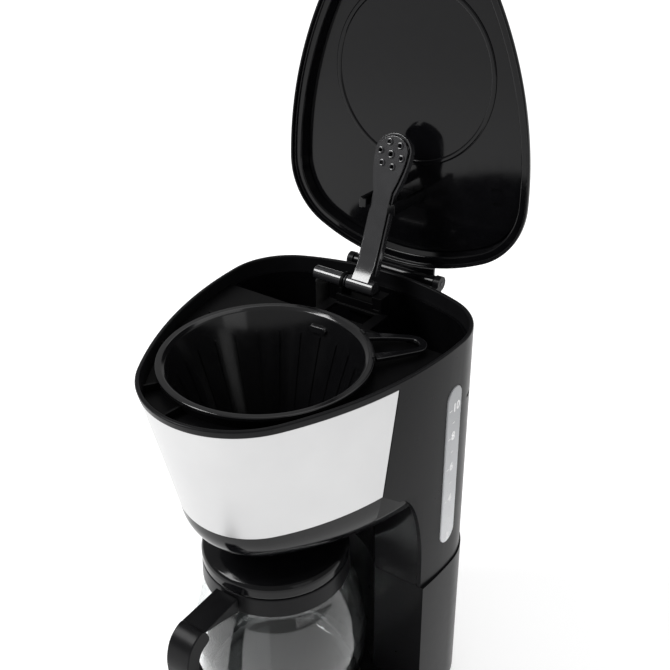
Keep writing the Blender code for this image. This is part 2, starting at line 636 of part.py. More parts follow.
def make_switch():
    """Lit rocker in a bezel at the front of the base, resting with its off side pressed in."""
    bezel = box("switch_bezel", (-0.0150, -0.0850, 0.0100), (0.0150, -0.0825, 0.0295), (BLACK, 0.4), bevel=0.0006)
    combine(bezel, box("bezel_body", (-0.0123, -0.0835, 0.0129), (0.0123, -0.0700, 0.0266)), "UNION")
    combine(bezel, box("bezel_bore", (-0.0113, -0.10, 0.0142), (0.0113, -0.0716, 0.0253)))
    axis = empty("switch_axis", (0.0, SWITCH_Y, 0.01975), MACHINE, turn_z=-SWITCH_DEG / 2)
    rocker = [(-0.0100, -0.0044), (-0.0100, 0.0030), (0.0, 0.0060), (0.0100, 0.0030), (0.0100, -0.0044),
              (0.0, -0.0028)]
    flat("switch_rocker", rocker, -0.0052, 0.0052, ((0.6, 0.06, 0.04), 0.25), axis)


SWITCH_DEG = 14.0
SWITCH_Y = -0.0812


# ---- lid ------------------------------------------------------------------------------------
def make_lid(axis):
    """The lid is drawn shut, in the hinge's own coordinates, and the hinge's empty opens it."""
    shift = Vector((0.0, -HINGE_Y, -HINGE_Z))

    def ring(z, grow):
        return [tuple(Vector(point) + shift) for point in lid_level(z, grow)]

    crown = [ring(0.3083, -0.0002), ring(0.3088, 0.0), ring(0.3108, 0.0), ring(0.3140, -0.0014),
             ring(0.3180, -0.0042), ring(0.3218, -0.0084), ring(0.3250, -0.0140), ring(0.3274, -0.0210),
             ring(0.3288, -0.0310)]
    lining = [ring(0.3264, -0.0220), ring(0.3240, -0.0150), ring(0.3210, -0.0090), ring(0.3120, -0.0072),
              ring(0.3118, -0.0070), ring(0.3118, -0.0016), ring(0.3114, -0.0014), ring(0.3083, -0.0014)]
    shell = pipe_cap("lid_shell", crown, lining, (BLACK, 0.18), axis)
    panel = loft("lid_panel", [ring(0.3192, -0.0090), ring(0.3208, -0.0094)], (GLOSS, 0.08), axis)
    rib = turned("panel_rib", [(0.0600, 0.3194), (0.0600, 0.3182), (0.0575, 0.3182), (0.0575, 0.3194)][::-1],
                 steps=40, parent=axis, place=(0.0, 0.0115 - HINGE_Y, -HINGE_Z))
    combine(panel, rib, "UNION")
    knuckle = rod("lid_knuckle", (-0.0330, 0, 0), (0.0330, 0, 0), 0.0045, (BLACK, 0.15), axis, sides=24)
    web = box("knuckle_web", (-0.0300, -0.0180, 0.0022), (0.0300, -0.0005, 0.0043), None, axis)
    combine(knuckle, web, "UNION")
    trim = loft("knuckle_trim", [ring(0.30, 2 * GAP), ring(0.33, 2 * GAP)], None, axis)
    combine(knuckle, trim)
    combine(knuckle, rod("knuckle_bore", (-0.05, 0, 0), (0.05, 0, 0), 0.0018, None, axis, sides=12))
    for side, name in ((-1, "arm_hook_left"), (1, "arm_hook_right")):
        make_arm_hook(name, side, axis)
    return shell


def pipe_cap(name, outer, inner, look, parent):
    """Cap with a skirt: outer rings from the lip to the crown, inner rings back down to the lip."""
    bm = bmesh.new()
    outside = [[bm.verts.new(point) for point in ring] for ring in outer]
    inside = [[bm.verts.new(point) for point in ring] for ring in inner]
    join_rows(bm, outside)
    join_rows(bm, inside)
    join_rows(bm, [inside[-1], outside[0]])
    bm.faces.new(outside[-1])
    bm.faces.new(list(reversed(inside[0])))
    bmesh.ops.recalc_face_normals(bm, faces=bm.faces)
    return from_bmesh(name, bm, look, parent)


def make_arm_hook(name, side, axis):
    """L-shaped hook under the lid: a post down past the arm and a foot turned in towards it."""
    foot = hook_place()
    top = 0.3192 - HINGE_Z - GAP
    low_x, high_x = sorted((side * 0.0112, side * 0.0138))
    post = box(name, (low_x, foot[0] - 0.0035, foot[1]), (high_x, foot[0] + 0.0035, top), (BLACK, 0.2), axis)
    low_x, high_x = sorted((side * 0.0088, side * 0.0130))
    toe = box(name + "_toe", (low_x, foot[0] - 0.0030, foot[1] + 0.0), (high_x, foot[0] + 0.0030, foot[1] + 0.0022),
              None, axis)
    return combine(post, toe, "UNION")


def hook_place():
    """Foot of the hook in the shut lid's coordinates, taken from where it grips the raised arm."""
    lean = math.radians(ARM_OPEN_DEG - 90.0)
    along = Vector((math.sin(lean), math.cos(lean)))
    face = Vector((-math.cos(lean), math.sin(lean)))
    grip = Vector((ARM_Y, ARM_Z)) + along * 0.0540 + face * 0.0046
    rel = grip - Vector((HINGE_Y, HINGE_Z))
    turn = math.radians(LID_OPEN_DEG)
    shut_y = rel.x * math.cos(turn) - rel.y * math.sin(turn)
    shut_z = rel.x * math.sin(turn) + rel.y * math.cos(turn)
    return shut_y, shut_z


# ---- spray arm ------------------------------------------------------------------------------
def arm_plan(half, head_r, start):
    """Paddle outline: a straight arm running into a round head."""
    head = arc((0.0, -ARM_LENGTH), head_r, -180.0 + 38.0 - 20.0, -38.0 + 20.0, 16)
    neck = ARM_LENGTH - head_r - 0.012
    right = [(half, -neck), (half, -start)]
    left = [(-half, -start), (-half, -neck)]
    return head + right + left


def make_spray_arm(axis):
    plate = flat("spray_plate", arm_plan(0.0066, 0.0122, 0.0030), -0.0012, 0.0003, (BLACK, 0.15), axis)
    hub = rod("arm_hub", (-0.0108, 0, 0), (0.0105, 0, 0), 0.0050, None, axis, sides=28)
    combine(plate, hub, "UNION")
    combine(plate, rod("hub_bore", (-0.02, 0, 0), (0.0090, 0, 0), 0.0035, None, axis, sides=24))
    for index in range(7):
        angle = math.radians(60 * index + 10)
        spread = 0.0 if index == 6 else 0.0082
        x = spread * math.cos(angle)
        y = -ARM_LENGTH + spread * math.sin(angle)
        nozzle = rod(f"nozzle_{index}", (x, y, -0.0024), (x, y, -0.0008), 0.0020, None, axis, sides=12)
        combine(plate, nozzle, "UNION")
        combine(plate, rod(f"nozzle_bore_{index}", (x, y, -0.01), (x, y, 0.01), 0.0010, None, axis, sides=8))
    cover = flat("spray_cover", arm_plan(0.0082, 0.0142, 0.0078), 0.0006, 0.0056, (BLACK, 0.15), axis)
    combine(cover, flat("cover_space", arm_plan(0.0070, 0.0130, 0.0090), 0.0, 0.0044, None, axis))


# ---- basket, valve and grip -----------------------------------------------------------------
def make_basket(axis):
    """Turned cone with a rolled lip; the axis' empty is at the basket's foot."""
    profile = [(BASKET_RIM_R - 0.0006, 0.3106), (BASKET_RIM_R, 0.3100), (BASKET_RIM_R, BASKET_RIM_Z + 0.0004),
               (BASKET_RIM_R - 0.0005, BASKET_RIM_Z), (BASKET_TOP_R, BASKET_RIM_Z),
               (BASKET_LOW_R, BASKET_Z + 0.0020), (BASKET_LOW_R - 0.0020, BASKET_Z), (0.0044, BASKET_Z),
               (0.0044, BASKET_Z + 0.0020), (BASKET_LOW_R - 0.0030, BASKET_Z + 0.0020),
               (BASKET_TOP_R - 0.0018, BASKET_RIM_Z + 0.0010), (BASKET_TOP_R + 0.0004, 0.3106)]
    turned("filter_basket", [(r, z - BASKET_Z) for r, z in profile], (BLACK, 0.25), axis, steps=48)


def make_grip(axis):
    """Folding loop on the basket's rim, lying outwards; its empty is on the fold line."""
    points = [(0.0, -GRIP_HALF, 0.0), (0.0100, -GRIP_HALF + 0.0020, -0.0008)]
    points += [(x, y, -0.0018 - 0.0016 * (x - 0.020) / 0.012)
               for x, y in arc((GRIP_REACH - 0.0090, 0.0), 0.0090, -66.0, 66.0, 8)]
    points += [(0.0100, GRIP_HALF - 0.0020, -0.0008), (0.0, GRIP_HALF, 0.0)]
    tube("basket_grip", points, 0.0022, (BLACK, 0.2), axis)


def make_valve(basket_axis, valve_axis):
    """Drip stop: a plunger through the basket's floor with a seal above and a spring below."""
    floor = BASKET_Z
    plunger = turned("valve_plunger", [(0.0, 0.2150), (0.0024, 0.2150), (0.0024, 0.1850), (0.0080, 0.1845),
                                       (0.0080, 0.1828), (0.0030, 0.1818), (0.0, 0.1818)],
                     ((0.8, 0.8, 0.8), 0.4), valve_axis, steps=20)
    plunger.location.z = -floor
    seal = turned("valve_seal", [(0.0080, 0.2095), (0.0085, 0.2074), (0.0028, 0.2074), (0.0028, 0.2095)],
                  ((0.35, 0.08, 0.05), 0.6), valve_axis, steps=20)
    seal.location.z = -floor
    turns = 4
    coil = []
    for index in range(turns * 10 + 1):
        angle = math.radians(36 * index)
        height = 0.1858 + 0.0180 * index / (turns * 10)
        coil.append((0.0040 * math.cos(angle), 0.0040 * math.sin(angle), height - floor))
    tube("valve_spring", coil, 0.0005, ((0.7, 0.7, 0.7), 0.3, 1.0), basket_axis)


# ---- jug ------------------------------------------------------------------------------------
def make_jug(axis, lid_axis):
    """Glass jug, plastic collar with its handle, and a lid that turns to lock."""
    wall = 0.0020
    outside = [(JUG_NECK_R, JUG_NECK_Z), (0.0480, 0.1420), (0.0535, 0.1320), (0.0590, 0.1150), (JUG_R, 0.0920),
               (0.0610, 0.0680), (0.0570, 0.0480), (0.0520, 0.0380), (0.0470, JUG_Z), (0.0, JUG_Z)]
    inside = [(0.0, JUG_Z + wall), (0.0465, JUG_Z + wall), (0.0505, 0.0395), (0.0550, 0.0485), (0.0590, 0.0683),
              (JUG_R - wall, 0.0920), (0.0570, 0.1145), (0.0516, 0.1312), (0.0460, 0.1415),
              (JUG_NECK_R - wall, JUG_NECK_Z)]
    turned("jug_glass", inside + outside, ((0.85, 0.88, 0.88), 0.03), axis, steps=48)
    turned("jug_collar", [(0.0497, 0.1580), (0.0500, 0.1570), (0.0505, 0.1440), (0.0495, 0.1432),
                          (0.0484, 0.1440), (0.0474, 0.1500), (0.0474, 0.1580)], (BLACK, 0.25), axis, steps=48)
    handle = [(-0.0511, 0.1570), (-0.0830, 0.1585), (-0.0960, 0.1520), (-0.1010, 0.1380), (-0.1000, 0.1100),
              (-0.0930, 0.0820), (-0.0850, 0.0740), (-0.0800, 0.0780), (-0.0860, 0.0920), (-0.0900, 0.1120),
              (-0.0905, 0.1340), (-0.0870, 0.1420), (-0.0780, 0.1450), (-0.0511, 0.1450)]
    grip = side_prism("jug_handle", handle, -0.0090, 0.0090, (BLACK, 0.3), axis)
    edge = grip.modifiers.new("edge", "BEVEL")
    edge.width = 0.0022
    edge.segments = 2
    edge.limit_method = "ANGLE"
    combine(grip, rod("handle_screw_way", (0, -0.0530, 0.1510), (0, -0.0480, 0.1510), 0.0016, None, axis, sides=12))
    turned("jug_lid", [(0.0, 0.1772), (0.0120, 0.1768), (0.0300, 0.1742), (0.0440, 0.1704), (0.0487, 0.1680),
                       (0.0500, 0.1655), (0.0500, 0.1583), (0.0455, 0.1583), (0.0440, 0.1500), (0.0425, 0.1500),
                       (0.0430, 0.1640), (0.0280, 0.1716), (0.0, 0.1742)], (GLOSS, 0.1), lid_axis, steps=48)


# ---- assembly -------------------------------------------------------------------------------
clear_scene()
PARTS = collection("drip_coffee_maker")
CUTTERS = collection("cutters")
MACHINE = empty("machine", (0.0, PLAN_SHIFT_Y, 0.0))


def main():
    make_upper_housing()
    make_steel_band()
    make_drip_head()
    make_column_liner()
    make_basket_well()
    make_water_tank()
    make_gauge_window()
    make_base_housing()
    make_bottom_plate()
    make_feet()
    make_hot_plate()
    make_heating_element()
    make_water_hoses()
    make_pivot_bracket()
    make_outlet_tube()
    make_hinge_pin()
    make_cord_gland()
    make_switch()
    lid_axis = empty("lid_axis", (0.0, HINGE_Y, HINGE_Z), MACHINE, turn_x=-LID_OPEN_DEG)
    make_lid(lid_axis)
    arm_axis = empty("arm_axis", (0.0, ARM_Y, ARM_Z), MACHINE, turn_x=-ARM_OPEN_DEG)
    make_spray_arm(arm_axis)
    basket_axis = empty("basket_axis", (0.0, 0.0, BASKET_Z), MACHINE)
    make_basket(basket_axis)
    valve_axis = empty("valve_axis", (0.0, 0.0, 0.0), basket_axis)
    make_valve(basket_axis, valve_axis)
    along = math.radians(GRIP_DEG)
    grip_axis = empty("grip_axis", (GRIP_CHORD * math.cos(along), GRIP_CHORD * math.sin(along),
                                    0.3085 - BASKET_Z), basket_axis, turn_z=GRIP_DEG)
    make_grip(grip_axis)
    jug_axis = empty("jug_axis", (0.0, 0.0, 0.0), MACHINE)
    jug_lid_axis = empty("jug_lid_axis", (0.0, 0.0, 0.0), jug_axis)
    make_jug(jug_axis, jug_lid_axis)


main()
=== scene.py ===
"""Looks of a drip coffee maker with its lid up, built round the fixed frame of its mechanism."""

import math

import bmesh
import bpy
from mathutils import Matrix, Vector


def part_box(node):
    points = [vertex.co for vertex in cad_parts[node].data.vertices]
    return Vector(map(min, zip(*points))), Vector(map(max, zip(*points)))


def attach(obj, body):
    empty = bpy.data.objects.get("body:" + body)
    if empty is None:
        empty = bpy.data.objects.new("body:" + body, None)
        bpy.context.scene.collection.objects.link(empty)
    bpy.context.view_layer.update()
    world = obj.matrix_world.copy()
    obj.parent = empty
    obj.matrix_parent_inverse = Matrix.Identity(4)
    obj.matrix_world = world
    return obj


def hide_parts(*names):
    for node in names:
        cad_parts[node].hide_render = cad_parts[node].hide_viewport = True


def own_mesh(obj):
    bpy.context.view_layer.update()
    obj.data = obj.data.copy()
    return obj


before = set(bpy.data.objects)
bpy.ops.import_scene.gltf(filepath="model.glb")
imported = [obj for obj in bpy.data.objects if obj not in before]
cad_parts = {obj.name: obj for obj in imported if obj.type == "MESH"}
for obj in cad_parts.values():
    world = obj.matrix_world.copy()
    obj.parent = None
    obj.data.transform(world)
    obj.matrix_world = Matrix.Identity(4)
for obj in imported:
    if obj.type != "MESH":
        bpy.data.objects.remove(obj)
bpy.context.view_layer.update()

# ---- upper housing --------------------------------------------------------------------------
# The tower and the wall of the brew head are one injection moulding in black plastic with a
# satin face. Its front is cut away for the jug, its side is slotted for the water gauge, and
# two lugs behind the rear wall carry the pin of the lid.
basket_low, basket_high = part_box("filter_basket")
AXIS_Y = (basket_low.y + basket_high.y) / 2     # every plan is drawn from the basket's axis
STAND = Matrix.Translation((0.0, AXIS_Y, 0.0))
SEAT_GAP = 0.0003
HALF_WIDTH = 0.0916
WIDEST_Y = 0.0812
REAR_Y = 0.1362
CORNER_R = 0.046
RIM_Z = 0.3112
RIM_FRONT_Y = -0.0833
RIM_FRONT_R = 0.063
BAND_Z = 0.219
BAND_FRONT_Y = -0.063
BAND_FRONT_R = 0.055
BAND_RISE = 0.145
BAND_TOP_Z = 0.3062
BAND_T = 0.0010
RIM_END_Y = 0.0185
FOOT_END_Y = 0.0100
WALL = 0.0028
SEAM_Z = 0.132
COLUMN_Y = 0.0450
COLUMN_R = 0.0680
HINGE_Y = 0.1470
HINGE_Z = 0.3063
FRONT_STEPS, SIDE_STEPS, CORNER_STEPS, REAR_STEPS = 36, 12, 20, 10
BAND_END = FRONT_STEPS + SIDE_STEPS


class Wire:
    """A socket of a finish, written in sums such as 1 - grain * 0.2."""

    def __init__(self, tree, socket):
        self.tree = tree
        self.socket = socket

    def sum(self, operation, first, second):
        node = self.tree.nodes.new("ShaderNodeMath")
        node.operation = operation
        for slot, value in zip(node.inputs, (first, second)):
            if isinstance(value, Wire):
                self.tree.links.new(value.socket, slot)
            else:
                slot.default_value = value
        return Wire(self.tree, node.outputs[0])

    def __add__(self, other):
        return self.sum("ADD", self, other)

    def __sub__(self, other):
        return self.sum("SUBTRACT", self, other)

    def __rsub__(self, other):
        return self.sum("SUBTRACT", other, self)

    def __mul__(self, other):
        return self.sum("MULTIPLY", self, other)

    __radd__ = __add__
    __rmul__ = __mul__


class Finish:
    """One material: its Principled shader and the nodes that vary it over a surface."""

    def __init__(self, name, **constants):
        self.material = bpy.data.materials.new(name)
        self.material.use_nodes = True
        self.tree = self.material.node_tree
        self.shader = self.tree.nodes["Principled BSDF"]
        self.place = self.node("ShaderNodeTexCoord", {}, {}, "Object")
        for socket, value in constants.items():
            self.shader.inputs[socket.replace("_", " ")].default_value = value

    def node(self, kind, settings, inputs, output=0):
        """Any node: its settings first, then the values or wires of its sockets."""
        made = self.tree.nodes.new(kind)
        for key, value in settings.items():
            if key == "stops":
                for index, (at, colour) in enumerate(value):
                    stops = made.color_ramp.elements
                    stop = stops[index] if index < len(stops) else stops.new(at)
                    stop.position, stop.color = at, colour
            else:
                setattr(made, key, value)
        for key, value in inputs.items():
            if isinstance(value, Wire):
                self.tree.links.new(value.socket, made.inputs[key])
            else:
                made.inputs[key].default_value = value
        return Wire(self.tree, made.outputs[output])

    def feed(self, socket, wire):
        self.tree.links.new(wire.socket, self.shader.inputs[socket])
        return self

    def noise(self, scale, detail=2.0, stretch=(1.0, 1.0, 1.0)):
        place = self.node("ShaderNodeMapping", {}, {"Vector": self.place, "Scale": stretch})
        return self.node("ShaderNodeTexNoise", {}, {"Vector": place, "Scale": scale, "Detail": detail})

    def mix(self, share, first, second):
        """Colour between two, by a wire that runs from 0 to 1."""
        return self.node("ShaderNodeMix", {"data_type": "RGBA"},
                         {"Factor": share, 6: (*first, 1.0), 7: (*second, 1.0)}, 2)

    def bump(self, height, strength, distance):
        relief = self.node("ShaderNodeBump", {}, {"Height": height, "Strength": strength,
                                                  "Distance": distance})
        return self.feed("Normal", relief)


def moulded(name, colour, roughness, grain_scale=2600.0, grain=0.10, wave=0.02, **constants):
    """Moulded plastic: a fine spark-eroded grain over the slow waves of a cooled wall."""
    made = Finish(name, **constants)
    fine = made.noise(grain_scale, 1.0)
    slow = made.noise(38.0, 2.0)
    handled = made.noise(150.0, 4.0)
    shade = made.mix(handled, colour, [channel * 1.35 + 0.001 for channel in colour])
    made.feed("Base Color", shade)
    made.feed("Roughness", handled * 0.10 + slow * 0.06 + (roughness - 0.08))
    return made.bump(fine * grain + slow * wave * 20.0, 0.35, 0.00006)


SATIN_BLACK = moulded("satin_black", (0.0060, 0.0060, 0.0066), 0.30, Specular_IOR_Level=0.10).material


def arc(centre, radius, start_deg, end_deg, steps):
    """Points on a circle, both ends included."""
    points = []
    for index in range(steps + 1):
        angle = math.radians(start_deg + (end_deg - start_deg) * index / steps)
        points.append((centre[0] + radius * math.cos(angle), centre[1] + radius * math.sin(angle)))
    return points


def outline(front_y, front_r, grow=0.0, band_end_y=RIM_END_Y, half_width=HALF_WIDTH, corner_r=CORNER_R,
            rear_y=REAR_Y):
    """Egg-shaped plan: front, side, corner and rear arcs, each tangent to the next, both halves."""
    front_c = Vector((0.0, front_y + front_r))
    corner_c = Vector((half_width - corner_r, WIDEST_Y))
    away = WIDEST_Y - front_c.y
    side_r = (half_width**2 + away**2 - front_r**2) / (2 * (half_width - front_r))
    side_c = Vector((half_width - side_r, WIDEST_Y))
    setback = WIDEST_Y - rear_y
    rear_r = (corner_r**2 - corner_c.x**2 - setback**2) / (2 * (setback + corner_r))
    rear_c = Vector((0.0, rear_y - rear_r))
    to_side = math.degrees(math.atan2(front_c.y - side_c.y, front_c.x - side_c.x))
    band_end = math.degrees(math.asin((band_end_y - WIDEST_Y) / side_r))
    to_rear = math.degrees(math.atan2(corner_c.y - rear_c.y, corner_c.x - rear_c.x))
    half = arc(front_c, front_r + grow, -90.0, to_side, FRONT_STEPS)
    half += arc(side_c, side_r + grow, to_side, band_end, SIDE_STEPS)[1:]
    half += arc(side_c, side_r + grow, band_end, 0.0, SIDE_STEPS)[1:]
    half += arc(corner_c, corner_r + grow, 0.0, to_rear, CORNER_STEPS)[1:]
    half += arc(rear_c, rear_r + grow, to_rear, 90.0, REAR_STEPS)[1:]
    return half + [(-x, y) for x, y in reversed(half[1:-1])]


def rim_level(z, grow=0.0):
    return [(x, y, z) for x, y in outline(RIM_FRONT_Y, RIM_FRONT_R, grow)]


def foot_level(z, grow=0.0):
    return [(x, y, z) for x, y in outline(BAND_FRONT_Y, BAND_FRONT_R, grow, FOOT_END_Y)]


def head_level(z, grow=0.0):
    """Plan of the flared brew head at a height between the band's foot and the rim."""
    share = (RIM_Z - z) / (RIM_Z - BAND_Z)
    return [tuple(Vector(a).lerp(Vector(b), share)) for a, b in zip(rim_level(z, grow), foot_level(z, grow))]


def band_foot(grow=0.0):
    """Ring on the head's skin along the band's lower edge, which rises towards the rear."""
    ring = []
    for (x0, y0), (x1, y1) in zip(outline(RIM_FRONT_Y, RIM_FRONT_R, grow),
                                  outline(BAND_FRONT_Y, BAND_FRONT_R, grow, FOOT_END_Y)):
        height = RIM_Z - BAND_Z
        share = (height - BAND_RISE * (y0 - BAND_FRONT_Y)) / (height + BAND_RISE * (y1 - y0))
        share = min(max(share, 0.0), 1.0)
        ring.append((x0 + (x1 - x0) * share, y0 + (y1 - y0) * share, RIM_Z - height * share))
    return ring


def rounded_edge(radius, start_deg, end_deg, steps=4):
    """(inset, drop) steps round an edge, for a stack of rings."""
    return [(radius * (1 - math.cos(math.radians(a))), radius * (1 - math.sin(math.radians(a))))
            for a in [start_deg + (end_deg - start_deg) * i / steps for i in range(steps + 1)]]


def shape(bm):
    """A welded body with its faces outwards, not yet a finished piece."""
    bmesh.ops.remove_doubles(bm, verts=bm.verts, dist=0.000002)
    bmesh.ops.recalc_face_normals(bm, faces=bm.faces)
    mesh = bpy.data.meshes.new("blank")
    bm.to_mesh(mesh)
    bm.free()
    made = bpy.data.objects.new("blank", mesh)
    bpy.context.scene.collection.objects.link(made)
    return made


def join_rows(bm, rows, closed=True):
    """Skin between neighbouring rows of points."""
    for lower, upper in zip(rows, rows[1:]):
        count = len(lower)
        for index in range(count if closed else count - 1):
            after = (index + 1) % count
            bm.faces.new((lower[index], lower[after], upper[after], upper[index]))


def loft(rings):
    """Closed skin through rings of equal point count, capped at both ends."""
    bm = bmesh.new()
    rows = [[bm.verts.new(point) for point in ring] for ring in rings]
    join_rows(bm, rows)
    bm.faces.new(list(reversed(rows[0])))
    bm.faces.new(rows[-1])
    return shape(bm)


def pipe(rings):
    """Ring-shaped wall: up the outside, over the edge and down the inside, back to the start."""
    bm = bmesh.new()
    rows = [[bm.verts.new(point) for point in ring] for ring in rings]
    join_rows(bm, rows + [rows[0]])
    return shape(bm)


def prism(points, low, high, across=False):
    """Outline made solid between two heights, or between two x values when its points are (y, z)."""
    def at(point, level):
        return (level, *point) if across else (*point, level)
    return loft([[at(point, low) for point in points], [at(point, high) for point in points]])


def block(low, high):
    (x0, y0, z0), (x1, y1, z1) = low, high
    return prism([(x0, y0), (x1, y0), (x1, y1), (x0, y1)], z0, z1)


def rod(start, end, radius, sides=64, end_radius=None):
    """Straight round bar from one point to another."""
    start = Vector(start)
    along = Vector(end) - start
    place = Matrix.Translation(start + along / 2) @ along.to_track_quat("Z", "Y").to_matrix().to_4x4()
    bm = bmesh.new()
    bmesh.ops.create_cone(bm, cap_ends=True, segments=sides, radius1=radius,
                          radius2=radius if end_radius is None else end_radius,
                          depth=along.length, matrix=place)
    return shape(bm)


def applied(made, *spent):
    """Turn an object's live modifiers into its own mesh."""
    bpy.context.view_layer.update()
    ready = made.evaluated_get(bpy.context.evaluated_depsgraph_get())
    mesh = bpy.data.meshes.new_from_object(ready)
    made.modifiers.clear()
    made.data = mesh
    for tool in spent:
        bpy.data.objects.remove(tool, do_unlink=True)
    return made


def carve(made, tool, operation="DIFFERENCE"):
    step = made.modifiers.new("carve", "BOOLEAN")
    step.operation = operation
    step.solver = "EXACT"
    step.object = tool
    return applied(made, tool)


def soften(made, width, segments=2, angle_deg=35):
    """Small moulded radius on every edge sharper than the angle."""
    step = made.modifiers.new("soften", "BEVEL")
    step.width = width
    step.segments = segments
    step.limit_method = "ANGLE"
    step.angle_limit = math.radians(angle_deg)
    step.harden_normals = False
    return applied(made)


def settle(made, name, material, body, slot, *nodes, place=STAND, crease_deg=32):
    """Finish a piece: in its place, smooth between creases, riding on its body for its nodes."""
    made.name = made.data.name = name
    made.data.transform(place)
    made.data.materials.clear()
    made.data.materials.append(material)
    made.data.shade_smooth()
    made.data.set_sharp_from_angle(angle=math.radians(crease_deg))
    # broad faces stay flat beside a small radius
    flat_faces = made.modifiers.new("flat_faces", "WEIGHTED_NORMAL")
    flat_faces.keep_sharp = True
    flat_faces.weight = 100
    applied(made)
    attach(made, body)
    if nodes:
        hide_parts(*nodes)
    return made


def gauge_pill(low_x, high_x, grow=0.0, half=0.0085):
    points = arc((0.0725, 0.2820 - 0.0085), half + grow, 0.0, 180.0, 24)
    points += arc((0.0725, 0.1560 + 0.0085), half + grow, 180.0, 360.0, 24)
    return prism(points, low_x, high_x, across=True)


def band_seat():
    """Space for the band: everything ahead of its slanting ends, less the core that stays."""
    low, top = band_foot()[BAND_END], head_level(BAND_TOP_Z)[BAND_END]
    slope = (top[1] - low[1]) / (top[2] - low[2])
    top_z = BAND_TOP_Z + SEAT_GAP
    ends = [(top[1] + 2 * SEAT_GAP + slope * (z - top[2]), z) for z in (0.10, top_z)]
    seat = prism([(-0.13, 0.10), *ends, (-0.13, top_z)], -0.13, 0.13, across=True)
    depth = BAND_T + 2 * SEAT_GAP
    return carve(seat, loft([foot_level(0.05, -depth), band_foot(-depth), head_level(BAND_TOP_Z, -depth),
                             head_level(RIM_Z, -depth)]))


def make_upper_housing():
    edge = 0.0011
    rings = [foot_level(SEAM_Z + SEAT_GAP), foot_level(BAND_Z)]
    rings += [rim_level(RIM_Z - drop, -inset) for inset, drop in rounded_edge(edge, 0, 90)]
    rings += [rim_level(RIM_Z - drop, -WALL + inset) for inset, drop in reversed(rounded_edge(edge, 0, 90))]
    rings += [foot_level(BAND_Z, -WALL), foot_level(SEAM_Z + SEAT_GAP, -WALL)]
    housing = carve(pipe(rings), band_seat())
    corner = band_foot()[BAND_END]
    niche = [(-0.13, 0.10), (COLUMN_Y, 0.10), (COLUMN_Y, 0.150)]
    for index in range(1, 13):        # the niche's side edges sweep forwards under the band
        turn = math.radians(90.0 * index / 12)
        niche.append((COLUMN_Y - 0.0210 * (1 - math.cos(turn)), 0.150 + 0.069 * math.sin(turn)))
    niche += [(corner[1], corner[2]), (-0.13, corner[2] - BAND_RISE * (corner[1] + 0.13))]
    carve(housing, prism(niche, -0.13, 0.13, across=True))
    carve(housing, gauge_pill(0.080, 0.100, SEAT_GAP))
    carve(housing, block((0.075, 0.0905, 0.2630), (0.100, 0.0985, 0.2655)))
    for side in (-1, 1):
        inner, outer = sorted((side * 0.0335, side * 0.0380))
        lug = carve(block((inner, 0.1310, 0.2960), (outer, HINGE_Y, 0.3055)),
                    rod((inner, HINGE_Y, HINGE_Z), (outer, HINGE_Y, HINGE_Z), 0.0052), "UNION")
        carve(housing, lug, "UNION")
        carve(housing, rod((side * 0.0300, HINGE_Y, HINGE_Z), (side * 0.0450, HINGE_Y, HINGE_Z), 0.0018))
    settle(housing, "housing_wall", SATIN_BLACK, "machine", "satin_black", "upper_housing")


make_upper_housing()

# ---- steel band -----------------------------------------------------------------------------
# A strip of stainless sheet is rolled round the front of the head and hooked into its seat.
# Its face has a soft satin polish, so it mirrors the room only as pale blurred patches.


def satin_steel():
    made = Finish("satin_steel", Metallic=1.0)
    polish = made.noise(260.0, 3.0, (1.0, 1.0, 9.0))
    cloud = made.noise(24.0, 3.0)
    made.feed("Base Color", made.mix(cloud, (0.52, 0.52, 0.525), (0.61, 0.61, 0.61)))
    made.feed("Roughness", cloud * 0.10 + polish * 0.08 + 0.24)
    return made.bump(polish, 0.10, 0.00003).material


def make_band():
    low, top = band_foot(), head_level(BAND_TOP_Z)
    order = [index % len(top) for index in range(-BAND_END, BAND_END + 1)]
    bm = bmesh.new()
    rows = []
    for step in range(9):
        share = step / 8
        rows.append([bm.verts.new(Vector(low[i]).lerp(Vector(top[i]), share)) for i in order])
    join_rows(bm, rows, closed=False)
    band = shape(bm)
    skin = band.modifiers.new("sheet", "SOLIDIFY")
    skin.thickness = BAND_T
    skin.offset = -1.0
    soften(applied(band), 0.00022, 2, 60)
    settle(band, "head_band", satin_steel(), "machine", "steel", "steel_band", crease_deg=50)


make_band()

# ---- drip head, tower front and basket well -------------------------------------------------
# The pan under the head and the liner behind the jug are glossy black mouldings. The deck
# round the basket is a plain inner moulding with the conical well that the basket drops into. Its black is
# darker than the outer mouldings': partly a duller inner plastic, partly painted shade of the inside of the
# head.
CHIN_Z = 0.192
DECK_Z = 0.3000
WELL_FLOOR_Z = 0.198
GLOSS_BLACK = moulded("gloss_black", (0.0025, 0.0025, 0.0030), 0.13, 900.0, 0.02, 0.03,
                      Specular_IOR_Level=0.23).material
# painted shade: parts deep inside or under the machine get a darker black than the outer mouldings; its
# rougher, duller face is the inner plastic's own
INNER_SHADED_BLACK = moulded("inner_shaded_black", (0.0012, 0.0012, 0.0014), 0.42, 2200.0, 0.14, 0.02,
                      Specular_IOR_Level=0.08).material


def tower_front(inset, near_y, wide=0.13):
    """Plan of everything ahead of the tower: its wing faces and the hollow round the jug."""
    face_y, reach = COLUMN_Y + inset, COLUMN_R + inset
    half_deg = math.degrees(math.acos(face_y / reach))
    hollow = arc((0.0, 0.0), reach, 90.0 - half_deg, 90.0 + half_deg, 48)
    return [(-wide, near_y), (wide, near_y), (wide, face_y)] + hollow + [(-wide, face_y)]


def chin_rings(grow, floor_z):
    rings = []
    for angle in range(8, 91, 8):
        turn = math.radians(min(angle + 2, 90))
        plan = foot_level(0.0, grow - 0.0230 * (1 - math.cos(turn)))
        rings.append([(x, y, top[2] - SEAT_GAP + (floor_z - top[2] + SEAT_GAP) * math.sin(turn))
                      for (x, y, _), top in zip(plan, band_foot(-0.0002))])
    return rings


